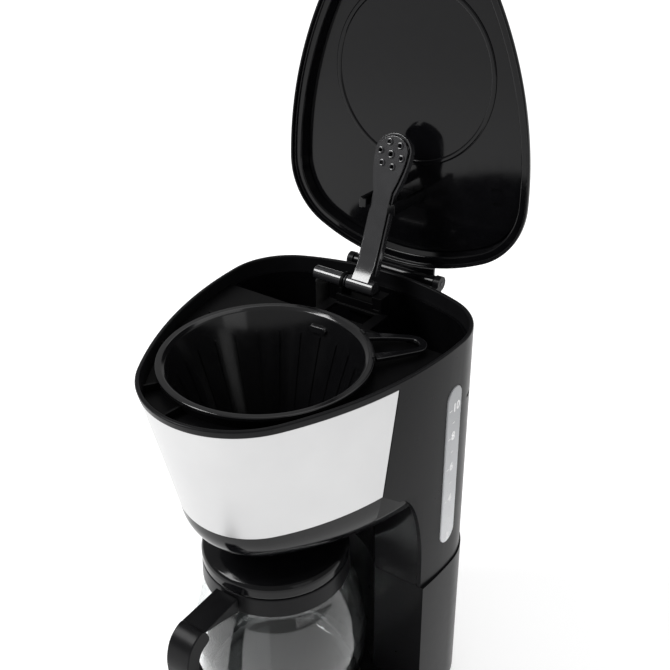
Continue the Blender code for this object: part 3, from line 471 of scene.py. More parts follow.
def make_drip_head():
    brow = [(x, y, z - SEAT_GAP) for x, y, z in band_foot(-0.0002)]
    head = loft(list(reversed([brow] + chin_rings(-0.0002, CHIN_Z))))
    room = [[(x, y, z + 0.02) for x, y, z in band_foot(-0.0060)], band_foot(-0.0060)]
    carve(head, loft(list(reversed(room + chin_rings(-0.0060, CHIN_Z + 0.0024)))))
    carve(head, rod((0, 0, CHIN_Z - 0.01), (0, 0, CHIN_Z + 0.01), 0.0140))
    behind_band = block((-0.12, band_foot()[BAND_END][1] - 0.0008, 0.10), (0.12, 0.20, 0.30))
    inside = loft([foot_level(0.09, -WALL - 0.0007), foot_level(0.31, -WALL - 0.0007)])
    carve(head, carve(behind_band, inside))
    rear = block((-0.12, 0.0, 0.05), (0.12, 0.22, 0.30))
    carve(head, carve(rear, prism(tower_front(-SEAT_GAP - 0.0002, -0.15), 0.04, 0.31)))
    settle(head, "brew_head_pan", GLOSS_BLACK, "machine", "gloss_black", "drip_head")


def make_tower_liner():
    near, far = tower_front(0.0, 0.0, 0.095)[2:], tower_front(0.0022, 0.0, 0.095)[2:]
    liner = prism(near + list(reversed(far)), SEAM_Z + SEAT_GAP, 0.2190)
    carve(liner, loft([foot_level(0.10, -WALL - SEAT_GAP), foot_level(0.30, -WALL - SEAT_GAP)]), "INTERSECT")
    settle(liner, "tower_liner", GLOSS_BLACK, "machine", "gloss_black", "column_liner")


def make_basket_well():
    well = loft([head_level(DECK_Z, -WALL - SEAT_GAP), head_level(DECK_Z + 0.0022, -WALL - SEAT_GAP)])
    carve(well, rod((0, 0, WELL_FLOOR_Z - 0.0018), (0, 0, 0.3075), 0.0381, 128, 0.0656), "UNION")
    for deg, reach in ((196, 0.0715), (236, 0.0740), (262, 0.0775), (338, 0.0745), (158, 0.0745)):
        # small ribs stiffen the rim of the well against the wall of the head
        out = Vector((math.cos(math.radians(deg)), math.sin(math.radians(deg))))
        side = Vector((-out.y, out.x)) * 0.0008
        near, far = out * 0.0630, out * reach
        tab = prism([near - side, far - side, far + side, near + side], 0.3015, 0.3070)
        bounds = loft([head_level(0.300, -WALL - SEAT_GAP), head_level(0.308, -WALL - SEAT_GAP)])
        carve(tab, bounds, "INTERSECT")
        carve(well, tab, "UNION")
    carve(well, rod((0, 0, WELL_FLOOR_Z), (0, 0, 0.3098), 0.0365, 128, 0.0644))
    carve(well, rod((0, 0, 0.18), (0, 0, 0.21), 0.0120))
    carve(well, block((-0.12, 0.0722, 0.15), (0.12, 0.20, 0.32)))
    settle(well, "basket_seat", INNER_SHADED_BLACK, "machine", "satin_black", "basket_well")


make_drip_head()
make_tower_liner()
make_basket_well()

# ---- water tank -----------------------------------------------------------------------------
# The cold water tank is an open black bucket that fills the tower behind the basket.
TANK_Z = 0.150
TANK_FRONT_Y = 0.0735


def tank_skin(inset, low_z, high_z, front_y):
    skin = loft([foot_level(low_z, -inset), foot_level(BAND_Z, -inset), rim_level(high_z, -inset)])
    return carve(skin, block((-0.12, -0.12, 0.10), (0.12, front_y, 0.35)))


def make_tank():
    inset = WALL + 0.0006
    tank = tank_skin(inset, TANK_Z, DECK_Z, TANK_FRONT_Y)
    carve(tank, tank_skin(inset + 0.0018, TANK_Z + 0.0020, DECK_Z + 0.01, TANK_FRONT_Y + 0.0018))
    for x, y in ((-0.0330, 0.1050), (0.0300, 0.112)):
        carve(tank, rod((x, y, 0.14), (x, y, 0.16), 0.0056))
    finish = moulded("tank_black", (0.0022, 0.0022, 0.0026), 0.20, 1500.0, 0.06, 0.03,
                     Specular_IOR_Level=0.30).material
    settle(tank, "tank_bucket", finish, "machine", "satin_black", "water_tank")


make_tank()

# ---- water gauge ----------------------------------------------------------------------------
# A long window of frosted clear plastic is pressed into the side wall. Its cup numbers and the
# strokes between them are printed in white on its face.
GAUGE_Y = 0.0725
GAUGE_FACE_X = HALF_WIDTH + 0.0003
CUP_LEVELS = {10: 0.2663, 8: 0.2446, 6: 0.2201, 4: 0.1936, 2: 0.1608}


def make_gauge():
    made = Finish("frosted_clear", Transmission_Weight=0.30, IOR=1.49, Specular_IOR_Level=0.5)
    frost = made.noise(1800.0, 2.0)
    height = made.node("ShaderNodeSeparateXYZ", {}, {"Vector": made.place}, "Z")
    cloud = made.noise(60.0, 2.0, (1.0, 1.0, 0.4))
    # painted light: the frosted window is coloured paler towards its lower end, where it looks lit; the cloud
    # only breaks the ramp up
    pale = made.node("ShaderNodeClamp", {}, {"Value": (0.290 - height) * 7.5 + (cloud - 0.5) * 0.3})
    made.feed("Base Color", made.mix(pale, (0.40, 0.41, 0.425), (0.86, 0.87, 0.89)))
    made.feed("Roughness", frost * 0.12 + 0.24)
    made.bump(frost, 0.15, 0.00004)
    window = soften(gauge_pill(HALF_WIDTH - 0.0022, GAUGE_FACE_X), 0.0007, 3)
    settle(window, "gauge_lens", made.material, "machine", "frosted", "gauge_window")


def open_tree(name, inputs):
    """Tree with a shape and the named inputs going in; given back with its two end nodes."""
    tree = bpy.data.node_groups.new(name, "GeometryNodeTree")
    for label, kind in {"Geometry": "Geometry", **inputs}.items():
        tree.interface.new_socket(label, in_out="INPUT", socket_type="NodeSocket" + kind)
    tree.interface.new_socket("Geometry", in_out="OUTPUT", socket_type="NodeSocketGeometry")
    return tree, tree.nodes.new("NodeGroupInput"), tree.nodes.new("NodeGroupOutput")


def grown(made, tree, joints, values):
    """Wire the tree up, run it on a shape with its inputs set, and keep what it makes as a mesh."""
    for source, target in joints:
        tree.links.new(source, target)
    step = made.modifiers.new("grown", "NODES")
    step.node_group = tree
    for item in tree.interface.items_tree:
        if item.name in values:
            step[item.identifier] = values[item.name]
    return applied(made)


def drawn(curve):
    """A text or a curve as a plain mesh object."""
    source = bpy.data.objects.new(curve.name, curve)
    bpy.context.scene.collection.objects.link(source)
    bpy.context.view_layer.update()
    mesh = bpy.data.meshes.new_from_object(source.evaluated_get(bpy.context.evaluated_depsgraph_get()))
    bpy.data.objects.remove(source, do_unlink=True)
    made = bpy.data.objects.new(curve.name, mesh)
    bpy.context.scene.collection.objects.link(made)
    return made


def joined(*pieces):
    """Several shapes as one object."""
    bm = bmesh.new()
    for piece in pieces:
        bm.from_mesh(piece.data)
        bpy.data.objects.remove(piece, do_unlink=True)
    return shape(bm)


STROKE_WIDTH = 0.00060
PRINT_THICKNESS = 0.00018


def printed_strokes(heights, start_y, length, ink_look):
    """Row of short printed bars at the heights, laid out by a tree that copies one bar."""
    tree, given, result = open_tree("gauge_strokes", {"Stroke Length": "Float", "Print Thickness": "Float",
                                                      "Ink": "Material"})
    new = tree.nodes.new
    size, bar = new("ShaderNodeCombineXYZ"), new("GeometryNodeMeshCube")
    spread = new("GeometryNodeInstanceOnPoints")
    real, ink = new("GeometryNodeRealizeInstances"), new("GeometryNodeSetMaterial")
    size.inputs["Z"].default_value = STROKE_WIDTH
    bm = bmesh.new()
    for z in heights:
        bm.verts.new((GAUGE_FACE_X + PRINT_THICKNESS / 2, start_y + length / 2, z))
    return grown(shape(bm), tree, ((given.outputs["Print Thickness"], size.inputs["X"]),
                                   (given.outputs["Stroke Length"], size.inputs["Y"]),
                                   (size.outputs[0], bar.inputs["Size"]),
                                   (given.outputs["Geometry"], spread.inputs["Points"]),
                                   (bar.outputs["Mesh"], spread.inputs["Instance"]),
                                   (spread.outputs["Instances"], real.inputs["Geometry"]),
                                   (real.outputs["Geometry"], ink.inputs["Geometry"]),
                                   (given.outputs["Ink"], ink.inputs["Material"]),
                                   (ink.outputs["Geometry"], result.inputs["Geometry"])),
                 {"Stroke Length": length, "Print Thickness": PRINT_THICKNESS, "Ink": ink_look})


def make_gauge_print():
    made = Finish("gauge_ink", Roughness=0.45)
    made.feed("Base Color", made.mix(made.noise(700.0, 2.0), (0.90, 0.90, 0.90), (0.97, 0.97, 0.97)))
    levels = sorted(CUP_LEVELS.values())
    between = [(low + high) / 2 for low, high in zip(levels, levels[1:])]
    pieces = [printed_strokes(levels, GAUGE_Y - 0.0068, 0.0030, made.material),
              printed_strokes(between, GAUGE_Y - 0.0022, 0.0026, made.material)]
    for cups, z in CUP_LEVELS.items():
        words = bpy.data.curves.new("cups", "FONT")
        words.body = str(cups)
        words.size = 0.0086
        words.offset = 0.00022
        words.align_x, words.align_y = "LEFT", "CENTER"
        words.extrude = 0.00009
        digits = drawn(words)
        digits.data.transform(Matrix(((0, 0, 1, GAUGE_FACE_X + 0.00006), (1, 0, 0, GAUGE_Y - 0.0026),
                                      (0, 1, 0, z), (0, 0, 0, 1))))
        pieces.append(digits)
    settle(joined(*pieces), "gauge_print", made.material, "machine", "frosted")


make_gauge()
make_gauge_print()

# ---- base -----------------------------------------------------------------------------------
# The base is a second satin moulding: a platform for the jug's hot plate in front and the bay
# of the heater behind, closed from below by a plate with four screws and standing on four feet.
PLATFORM_Z = 0.0325
PLATE_R = 0.0570
GLAND = Vector((0.0300, REAR_Y, 0.0300))


def make_base():
    grow = 0.0010
    rings = [rim_level(0.0065 + drop, grow - inset) for inset, drop in reversed(rounded_edge(0.0015, 0, 90))]
    base = loft(rings + [rim_level(PLATFORM_Z, grow), rim_level(SEAM_Z, grow)])
    carve(base, prism(tower_front(0.0, -0.15), PLATFORM_Z, 0.20))
    carve(base, loft([rim_level(-0.01, -WALL), rim_level(PLATFORM_Z - 0.0026, -WALL)]))
    bay = loft([rim_level(PLATFORM_Z - 0.004, -WALL), rim_level(0.20, -WALL)])
    carve(base, carve(bay, prism(tower_front(WALL, -0.15), 0.0, 0.25)))
    carve(base, rod((0, 0, 0.02), (0, 0, 0.05), PLATE_R + 0.0006, 96))
    carve(base, block((-0.0153, -0.10, 0.0097), (0.0153, -0.0822, 0.0298)))
    carve(base, block((-0.0126, -0.10, 0.0126), (0.0126, -0.070, 0.0269)))
    carve(base, rod((GLAND.x, 0.10, GLAND.z), (GLAND.x, 0.16, GLAND.z), 0.0062))
    settle(base, "base_wall", SATIN_BLACK, "machine", "satin_black", "base_housing")


def turned(profile, place=(0.0, 0.0, 0.0), steps=96, turn=None):
    """Closed (radius, height) profile turned about its own Z axis, on the axis where radius is 0."""
    bm = bmesh.new()
    rows = [[bm.verts.new((r * math.cos(2 * math.pi * i / steps), r * math.sin(2 * math.pi * i / steps), z))
             for i in range(steps)] if r > 0 else [bm.verts.new((0.0, 0.0, z))] for r, z in profile]
    whole = profile[0][0] > 0
    for lower, upper in zip(rows, rows[1:] + rows[:1] if whole else rows[1:]):
        for i in range(steps):
            after = (i + 1) % steps
            corners = [lower[i % len(lower)], lower[after % len(lower)], upper[after % len(upper)],
                       upper[i % len(upper)]]
            bm.faces.new(list(dict.fromkeys(corners)))
    made = shape(bm)
    made.data.transform(Matrix.Translation(place) @ (turn or Matrix.Identity(4)))
    return made


def fillet(profile, radius, steps=3, closed=False):
    """Round the inner corners of a profile so that turned edges catch a line of light."""
    rounded = []
    count = len(profile)
    for index, point in enumerate(profile):
        here = Vector(point)
        if not closed and index in (0, count - 1):
            rounded.append(tuple(here))
            continue
        before, after = Vector(profile[index - 1]) - here, Vector(profile[(index + 1) % count]) - here
        reach = min(radius, before.length * 0.45, after.length * 0.45)
        start, end = here + before.normalized() * reach, here + after.normalized() * reach
        for step in range(steps + 1):
            t = step / steps
            rounded.append(tuple(start * (1 - t) ** 2 + here * 2 * t * (1 - t) + end * t**2))
    return rounded


def make_hot_plate():
    made = Finish("plate_enamel", Metallic=0.0, Specular_IOR_Level=0.6)
    speckle = made.node("ShaderNodeTexVoronoi", {}, {"Vector": made.place, "Scale": 900.0})
    made.feed("Base Color", made.mix(speckle, (0.030, 0.030, 0.031), (0.008, 0.008, 0.008)))
    made.feed("Roughness", speckle * 0.15 + 0.28).bump(speckle, 0.2, 0.0001)
    profile = [(0.0, 0.0345), (PLATE_R - 0.0040, 0.0345), (PLATE_R - 0.0010, 0.0342), (PLATE_R, 0.0332),
               (PLATE_R, 0.0300), (PLATE_R - 0.0015, 0.0300), (PLATE_R - 0.0015, 0.0328), (0.0, 0.0328)]
    settle(turned(fillet(profile, 0.0008)), "jug_hot_plate", made.material, "machine", "plate_black",
           "hot_plate")


def make_cord_gland():
    """Rubber sleeve for the mains lead, grooved so that it bends; the lead isn't made."""
    made = Finish("gland_rubber")
    dust = made.noise(500.0, 4.0)
    made.feed("Base Color", made.mix(dust, (0.010, 0.010, 0.010), (0.024, 0.024, 0.024)))
    made.feed("Roughness", dust * 0.15 + 0.55).bump(dust, 0.2, 0.0001)
    profile = [(0.0030, -0.0060), (0.0030, 0.0150), (0.0042, 0.0150)]
    for index in range(5):
        z, r = 0.0138 - 0.0022 * index, 0.0043 + 0.00034 * index
        profile += [(r, z + 0.0006), (r - 0.0005, z + 0.0002), (r - 0.0005, z - 0.0004),
                    (r + 0.0001, z - 0.0008)]
    profile += [(0.0060, 0.0038), (0.0085, 0.0032), (0.0085, 0.0), (0.0059, 0.0), (0.0059, -0.0060)]
    gland = turned(profile, GLAND, 64, Matrix.Rotation(math.radians(-90), 4, "X"))
    settle(gland, "lead_gland", made.material, "machine", "foot_rubber", "cord_gland")
    return made.material


make_base()
make_hot_plate()
RUBBER = make_cord_gland()

# ---- carried-over small parts ---------------------------------------------------------------
# Feet, screws, heater and water fittings are bought-in parts whose shapes are already right,
# so each keeps its own body and takes the finish of its real material.


def soft_finish(name, colour, paler, roughness, scale=420.0, relief=0.15, **constants):
    made = Finish(name, **constants)
    mottle = made.noise(scale, 4.0)
    made.feed("Base Color", made.mix(mottle, colour, paler))
    made.feed("Roughness", mottle * 0.16 + roughness)
    return made.bump(mottle, relief, 0.00006).material


ZINC = soft_finish("zinc_plate", (0.50, 0.51, 0.53), (0.62, 0.62, 0.60), 0.22, 900.0, 0.1, Metallic=1.0)
SILICONE = soft_finish("silicone_hose", (0.52, 0.51, 0.49), (0.62, 0.61, 0.58), 0.30, 160.0, 0.05)
KEPT_FINISHES = {
    ZINC: ("base_screw_1", "base_screw_2", "base_screw_3", "base_screw_4"),
    soft_finish("blued_pin", (0.020, 0.020, 0.022), (0.035, 0.035, 0.037), 0.30, 900.0, 0.1, Metallic=1.0):
        ("hinge_pin",),
    RUBBER: ("foot_1", "foot_2", "foot_3", "foot_4"),
    SILICONE: ("inlet_hose", "tank_outlet"),
    # painted shade: the bottom plate under the base takes the darker inner black
    INNER_SHADED_BLACK: ("bottom_plate",),
    soft_finish("cast_aluminium", (0.46, 0.46, 0.46), (0.60, 0.60, 0.59), 0.38, 600.0, 0.4, Metallic=1.0):
        ("heating_element", "thermostat"),
    soft_finish("steatite", (0.70, 0.69, 0.64), (0.80, 0.79, 0.75), 0.50, 800.0):
        ("thermal_fuse", "terminal_block"),
    soft_finish("valve_nylon", (0.66, 0.66, 0.64), (0.76, 0.76, 0.73), 0.35): ("check_valve", "tank_screen"),
}
for material, names in KEPT_FINISHES.items():
    for name in names:
        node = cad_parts[name]
        node.data.materials.clear()
        node.data.materials.append(material)

# ---- power switch ---------------------------------------------------------------------------
# A lit rocker of red translucent plastic clicks in a black bezel at the front of the base.


def kept_shape(name):
    """Welded copy of a node's body with its flat faces made whole, ready for a softened edge."""
    bm = bmesh.new()
    bm.from_mesh(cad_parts[name].data)
    bmesh.ops.remove_doubles(bm, verts=bm.verts, dist=0.000005)
    bmesh.ops.dissolve_limit(bm, angle_limit=math.radians(1.0), verts=bm.verts, edges=bm.edges)
    return shape(bm)


RED_ROCKER = soft_finish("switch_red", (0.32, 0.012, 0.008), (0.42, 0.02, 0.012), 0.16, 60.0, 0.03,
                         Transmission_Weight=0.15)
HERE = Matrix.Identity(4)       # for shapes copied from the frame, which are in place already
settle(soften(kept_shape("switch_bezel"), 0.0004), "rocker_bezel", SATIN_BLACK, "machine", "satin_black",
       "switch_bezel", place=HERE)
settle(soften(kept_shape("switch_rocker"), 0.0005, 3), "rocker", RED_ROCKER, "switch", "switch_red",
       "switch_rocker", place=HERE)

# ---- jug ------------------------------------------------------------------------------------
# The jug is blown glass with a ground rim, clamped in a plastic collar with its handle. Its lid
# is a glossy black moulding that turns to lock, with slots for the coffee round a raised middle.
JUG_R = 0.0620


def make_jug():
    made = Finish("jug_glass", Transmission_Weight=1.0, IOR=1.47, Base_Color=(0.94, 0.96, 0.96, 1.0))
    ripple = made.noise(30.0, 2.0)
    made.feed("Roughness", ripple * 0.02 + 0.005).bump(ripple, 0.10, 0.0004)
    outside = [(0.0470, 0.1500), (0.0480, 0.1420), (0.0535, 0.1320), (0.0590, 0.1150), (JUG_R, 0.0920),
               (0.0610, 0.0680), (0.0570, 0.0480), (0.0520, 0.0380), (0.0470, 0.0348), (0.0, 0.0348)]
    inside = [(0.0, 0.0368), (0.0465, 0.0368), (0.0505, 0.0395), (0.0550, 0.0485), (0.0590, 0.0683),
              (0.0600, 0.0920), (0.0570, 0.1145), (0.0516, 0.1312), (0.0460, 0.1415), (0.0450, 0.1500)]
    glass = turned(fillet(fillet(inside + outside, 0.0060, 2), 0.0016, 2), steps=128)
    settle(glass, "jug_bowl", made.material, "jug", "glass", "jug_glass", crease_deg=60)
    collar = [(0.0497, 0.1580), (0.0500, 0.1570), (0.0505, 0.1440), (0.0495, 0.1432), (0.0484, 0.1440),
              (0.0474, 0.1500), (0.0474, 0.1580)]
    settle(turned(fillet(collar, 0.0006, 3, True)), "jug_neck_ring", SATIN_BLACK, "jug", "satin_black",
           "jug_collar")
    handle = [(-0.0511, 0.1570), (-0.0830, 0.1585), (-0.0960, 0.1520), (-0.1010, 0.1380), (-0.1000, 0.1100),
              (-0.0930, 0.0820), (-0.0850, 0.0740), (-0.0800, 0.0780), (-0.0860, 0.0920), (-0.0900, 0.1120),
              (-0.0905, 0.1340), (-0.0870, 0.1420), (-0.0780, 0.1450), (-0.0511, 0.1450)]
    bow = fillet(handle[1:-1], 0.0090, 6, True)      # the ends at the collar stay square
    start = max(range(len(bow)), key=lambda i: bow[i][0] + bow[i][1])
    bow = [handle[0]] + [p for p in bow[start:] + bow[:start]] + [handle[-1]]
    grip = prism(bow, -0.0090, 0.0090, across=True)
    settle(soften(grip, 0.0026, 4, 60), "jug_grip", SATIN_BLACK, "jug", "satin_black", "jug_handle")


def make_jug_lid():
    profile = [(0.0, 0.1772), (0.0120, 0.1768), (0.0300, 0.1742), (0.0440, 0.1704), (0.0487, 0.1680),
               (0.0500, 0.1655), (0.0500, 0.1583), (0.0455, 0.1583), (0.0440, 0.1500), (0.0425, 0.1500),
               (0.0430, 0.1640), (0.0280, 0.1716), (0.0, 0.1742)]
    cap = turned(fillet(profile, 0.0022, 4))
    for deg in (60, 120, 180, 240, 300, 360):       # coffee slots between the spokes
        outer = arc((0.0, 0.0), 0.0215, deg - 20, deg + 20, 10)
        inner = arc((0.0, 0.0), 0.0165, deg + 18, deg - 18, 10)
        carve(cap, prism(outer + inner, 0.165, 0.185))
    settle(cap, "jug_cap_shell", GLOSS_BLACK, "jug_cap", "gloss_black", "jug_lid")


make_jug()
make_jug_lid()

# ---- filter basket --------------------------------------------------------------------------
# The basket is a thin glossy cone with a rolled lip. Ribs on its wall hold the paper filter off
# the plastic, and a short recess near the rear lets the overflow by.
BASKET_Z = 0.205
BASKET_RIM_Z = 0.3078
BASKET_RIM_R = 0.0660
BASKET_TOP_R = 0.0618
BASKET_LOW_R = 0.0300
BASKET_BLACK = moulded("basket_black", (0.0036, 0.0036, 0.0041), 0.13, 1300.0, 0.03, 0.02,
                       Specular_IOR_Level=0.50).material


def make_basket():
    profile = [(BASKET_RIM_R - 0.0006, 0.3106), (BASKET_RIM_R, 0.3100), (BASKET_RIM_R, BASKET_RIM_Z + 0.0004),
               (BASKET_RIM_R - 0.0005, BASKET_RIM_Z), (BASKET_TOP_R, BASKET_RIM_Z),
               (BASKET_LOW_R, BASKET_Z + 0.0020),
               (BASKET_LOW_R - 0.0020, BASKET_Z), (0.0044, BASKET_Z), (0.0044, BASKET_Z + 0.0020),
               (BASKET_LOW_R - 0.0030, BASKET_Z + 0.0020), (BASKET_TOP_R - 0.0018, BASKET_RIM_Z + 0.0010),
               (BASKET_TOP_R + 0.0004, 0.3106)]
    basket = turned(fillet(profile, 0.0007, 3, True), steps=160)
    settle(basket, "basket_cone", BASKET_BLACK, "basket", "gloss_black", "filter_basket")


def make_basket_ribs():
    """Thin upright ribs, copied round the wall by a tree from one slanting blade."""
    tree, given, result = open_tree("basket_ribs", {"Rib Count": "Int", "Step Angle": "Float",
                                                    "Plastic": "Material"})
    new = tree.nodes.new
    line, number, angle = new("GeometryNodeMeshLine"), new("GeometryNodeInputIndex"), new("ShaderNodeMath")
    turn, copy = new("ShaderNodeCombineXYZ"), new("GeometryNodeInstanceOnPoints")
    real, coat = new("GeometryNodeRealizeInstances"), new("GeometryNodeSetMaterial")
    line.inputs["Offset"].default_value = (0.0, 0.0, 0.0)
    angle.operation = "MULTIPLY"
    low, top = Vector((BASKET_LOW_R - 0.0012, BASKET_Z + 0.0060)), Vector((BASKET_TOP_R - 0.0062, 0.2960))
    deep = Vector((-0.0009, 0.0))
    blade = prism([low, low + deep, top + deep * 0.6, top], -0.00040, 0.00040)
    blade.data.transform(Matrix(((1, 0, 0, 0), (0, 0, -1, 0), (0, 1, 0, 0), (0, 0, 0, 1))))
    soften(blade, 0.0001, 1)
    grown(blade, tree, ((given.outputs["Rib Count"], line.inputs["Count"]),
                        (number.outputs[0], angle.inputs[0]), (given.outputs["Step Angle"], angle.inputs[1]),
                        (angle.outputs[0], turn.inputs["Z"]), (turn.outputs[0], copy.inputs["Rotation"]),
                        (line.outputs[0], copy.inputs["Points"]),
                        (given.outputs["Geometry"], copy.inputs["Instance"]),
                        (copy.outputs[0], real.inputs[0]), (real.outputs[0], coat.inputs["Geometry"]),
                        (given.outputs["Plastic"], coat.inputs["Material"]),
                        (coat.outputs[0], result.inputs[0])),
          {"Rib Count": 24, "Step Angle": math.radians(15.0), "Plastic": BASKET_BLACK})
    settle(blade, "basket_ribs", BASKET_BLACK, "basket", "gloss_black", crease_deg=25)


def make_basket_trim():
    """Overflow recess plate near the rear and the two steps where the grip is hinged."""
    turn = math.radians(92.0)
    out = Vector((math.cos(turn), math.sin(turn), 0.0))
    side = Vector((-out.y, out.x, 0.0))
    wall = out * (BASKET_TOP_R - 0.0052) + Vector((0.0, 0.0, 0.3006))
    slope = (out * 0.31 + Vector((0.0, 0.0, 1.0))).normalized()
    recess = []
    for lift, size in ((0.0008, 1.0), (-0.0006, 0.92), (-0.0016, 0.80)):
        ends = arc((0.0042, 0.0), 0.0026 * size, -90, 90, 12)
        ends += arc((-0.0042, 0.0), 0.0026 * size, 90, 270, 12)
        recess.append([tuple(wall + side * a + slope * b + out * lift) for a, b in ends])
    trim = [loft(recess)]
    for deg in (33.0, 59.0):
        out = Vector((math.cos(math.radians(deg)), math.sin(math.radians(deg)), 0.0))
        side = Vector((-out.y, out.x, 0.0))
        corners = [out * r + side * s for r, s in ((0.0640, -0.0026), (0.0658, -0.0026), (0.0658, 0.0026),
                                                   (0.0640, 0.0026))]
        trim.append(prism([(c.x, c.y) for c in corners], 0.3102, 0.3114))
    settle(soften(joined(*trim), 0.0003), "basket_trim", BASKET_BLACK, "basket", "gloss_black")


def make_grip():
    """Flat strap bent into a loop that folds out over the rim to lift the basket."""
    deg, chord, half, reach = 46.0, 0.0666, 0.0140, 0.0315
    path = [(-0.0016, -half), (0.0030, -half + 0.0004), (0.0100, -half + 0.0022)]
    path += arc((reach - 0.0090, 0.0), 0.0090, -62.0, 62.0, 28)
    path += [(0.0100, half - 0.0022), (0.0030, half - 0.0004), (-0.0016, half)]
    smooth = path
    for _ in range(3):      # rounds the route's corners, ends kept
        smooth = [smooth[0]] + [((a[0] + b[0]) / 2, (a[1] + b[1]) / 2) for a, b in zip(smooth, smooth[1:])] \
            + [smooth[-1]]
    sections = []
    for index, point in enumerate(smooth):
        before, after = smooth[max(index - 1, 0)], smooth[min(index + 1, len(smooth) - 1)]
        along = Vector((after[0] - before[0], after[1] - before[1])).normalized()
        out = Vector((along.y, -along.x))
        level = -0.0006 - 0.0022 * min(max(point[0] / reach, 0.0), 1.0)
        ring = []
        for a, b, corner_deg in ((-1, 1, 180), (1, 1, 90), (1, -1, 0), (-1, -1, -90)):
            for turn in range(4):
                angle = math.radians(corner_deg - turn * 30)
                edge = 0.0017 if a > 0 else -0.0020 - 0.0024 * (1 - min(max(point[0] / 0.016, 0.0), 1.0))
                across = edge + 0.0006 * math.cos(angle)
                ring.append((point[0] + out.x * across, point[1] + out.y * across,
                             level + b * 0.0007 + 0.0006 * math.sin(angle)))
        sections.append(ring)
    strap = loft(sections)
    turn = math.radians(deg)
    place = STAND @ Matrix.Translation((chord * math.cos(turn), chord * math.sin(turn), 0.3085)) \
        @ Matrix.Rotation(turn, 4, "Z")
    settle(strap, "lift_strap", BASKET_BLACK, "grip", "gloss_black", "basket_grip", place=place,
           crease_deg=45)


def make_valve():
    """Drip stop of pale nylon with a red silicone seal."""
    pin = [(0.0, 0.2150), (0.0024, 0.2150), (0.0024, 0.1850), (0.0080, 0.1845), (0.0080, 0.1828),
           (0.0030, 0.1818), (0.0, 0.1818)]
    nylon = soft_finish("plunger_nylon", (0.64, 0.64, 0.62), (0.74, 0.74, 0.71), 0.32)
    settle(turned(fillet(pin, 0.0005), steps=48), "drip_plunger", nylon, "valve", "sensor", "valve_plunger")
    seal = [(0.0080, 0.2095), (0.0085, 0.2074), (0.0028, 0.2074), (0.0028, 0.2095)]
    red = soft_finish("seal_red", (0.26, 0.035, 0.020), (0.34, 0.05, 0.03), 0.48)
    settle(turned(fillet(seal, 0.0005, 3, True), steps=48), "drip_seal", red, "valve", "seal_red",
           "valve_seal")


def make_valve_spring():
    """Four turns of spring wire, drawn along a spiral by a tree at its free height."""
    wire = soft_finish("spring_wire", (0.46, 0.46, 0.47), (0.58, 0.58, 0.58), 0.22, 1500.0, 0.1, Metallic=1.0)
    tree, given, result = open_tree("valve_spring", {"Turns": "Float", "Coil Radius": "Float",
                                                     "Free Height": "Float", "Wire Radius": "Float",
                                                     "Steel": "Material"})
    new = tree.nodes.new
    spiral, ring = new("GeometryNodeCurveSpiral"), new("GeometryNodeCurvePrimitiveCircle")
    sweep, real = new("GeometryNodeCurveToMesh"), new("GeometryNodeRealizeInstances")
    coat = new("GeometryNodeSetMaterial")
    spiral.inputs["Resolution"].default_value = 24
    ring.inputs["Resolution"].default_value = 12
    sweep.inputs["Fill Caps"].default_value = True
    coil = grown(shape(bmesh.new()), tree, ((given.outputs["Turns"], spiral.inputs["Rotations"]),
                                            (given.outputs["Coil Radius"], spiral.inputs["Start Radius"]),
                                            (given.outputs["Coil Radius"], spiral.inputs["End Radius"]),
                                            (given.outputs["Free Height"], spiral.inputs["Height"]),
                                            (given.outputs["Wire Radius"], ring.inputs["Radius"]),
                                            (spiral.outputs[0], sweep.inputs["Curve"]),
                                            (ring.outputs[0], sweep.inputs["Profile Curve"]),
                                            (sweep.outputs[0], real.inputs[0]),
                                            (real.outputs[0], coat.inputs["Geometry"]),
                                            (given.outputs["Steel"], coat.inputs["Material"]),
                                            (coat.outputs[0], result.inputs[0])),
                 {"Turns": 4.0, "Coil Radius": 0.0040, "Free Height": 0.0180, "Wire Radius": 0.0005,
                  "Steel": wire})
    coil.data.transform(Matrix.Translation((0.0, 0.0, 0.1858)))
    settle(coil, "drip_spring", wire, "basket", "steel", "valve_spring")
    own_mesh(coil)


make_basket()
make_basket_ribs()
make_basket_trim()
make_grip()
make_valve()
make_valve_spring()

# ---- lid ------------------------------------------------------------------------------------
# The lid is a domed glossy shell with a turned-in flange. A flat panel is welded inside it, and
# its barrel hinge and the two hooks that lift the spray arm are moulded on.
LID_OVERHANG = 0.0019
LID_OPEN = math.radians(92.0)
LID_PLACE = STAND @ Matrix.Translation((0.0, HINGE_Y, HINGE_Z)) @ Matrix.Rotation(-LID_OPEN, 4, "X") \
    @ Matrix.Translation((0.0, -HINGE_Y, -HINGE_Z))
LID_GLOSS = moulded("lid_gloss", (0.0022, 0.0022, 0.0027), 0.10, 800.0, 0.015, 0.03,
                    Specular_IOR_Level=0.22).material


def lid_level(z, grow=0.0):
    plan = outline(RIM_FRONT_Y - LID_OVERHANG, RIM_FRONT_R + LID_OVERHANG, grow, RIM_END_Y,
                   HALF_WIDTH + LID_OVERHANG, 0.0500, 0.1414)
    return [(x, y, z) for x, y in plan]


def bent(steps_in, radius):
    """Round the bends of a (z, grow) section."""
    return fillet(steps_in, radius, 3)


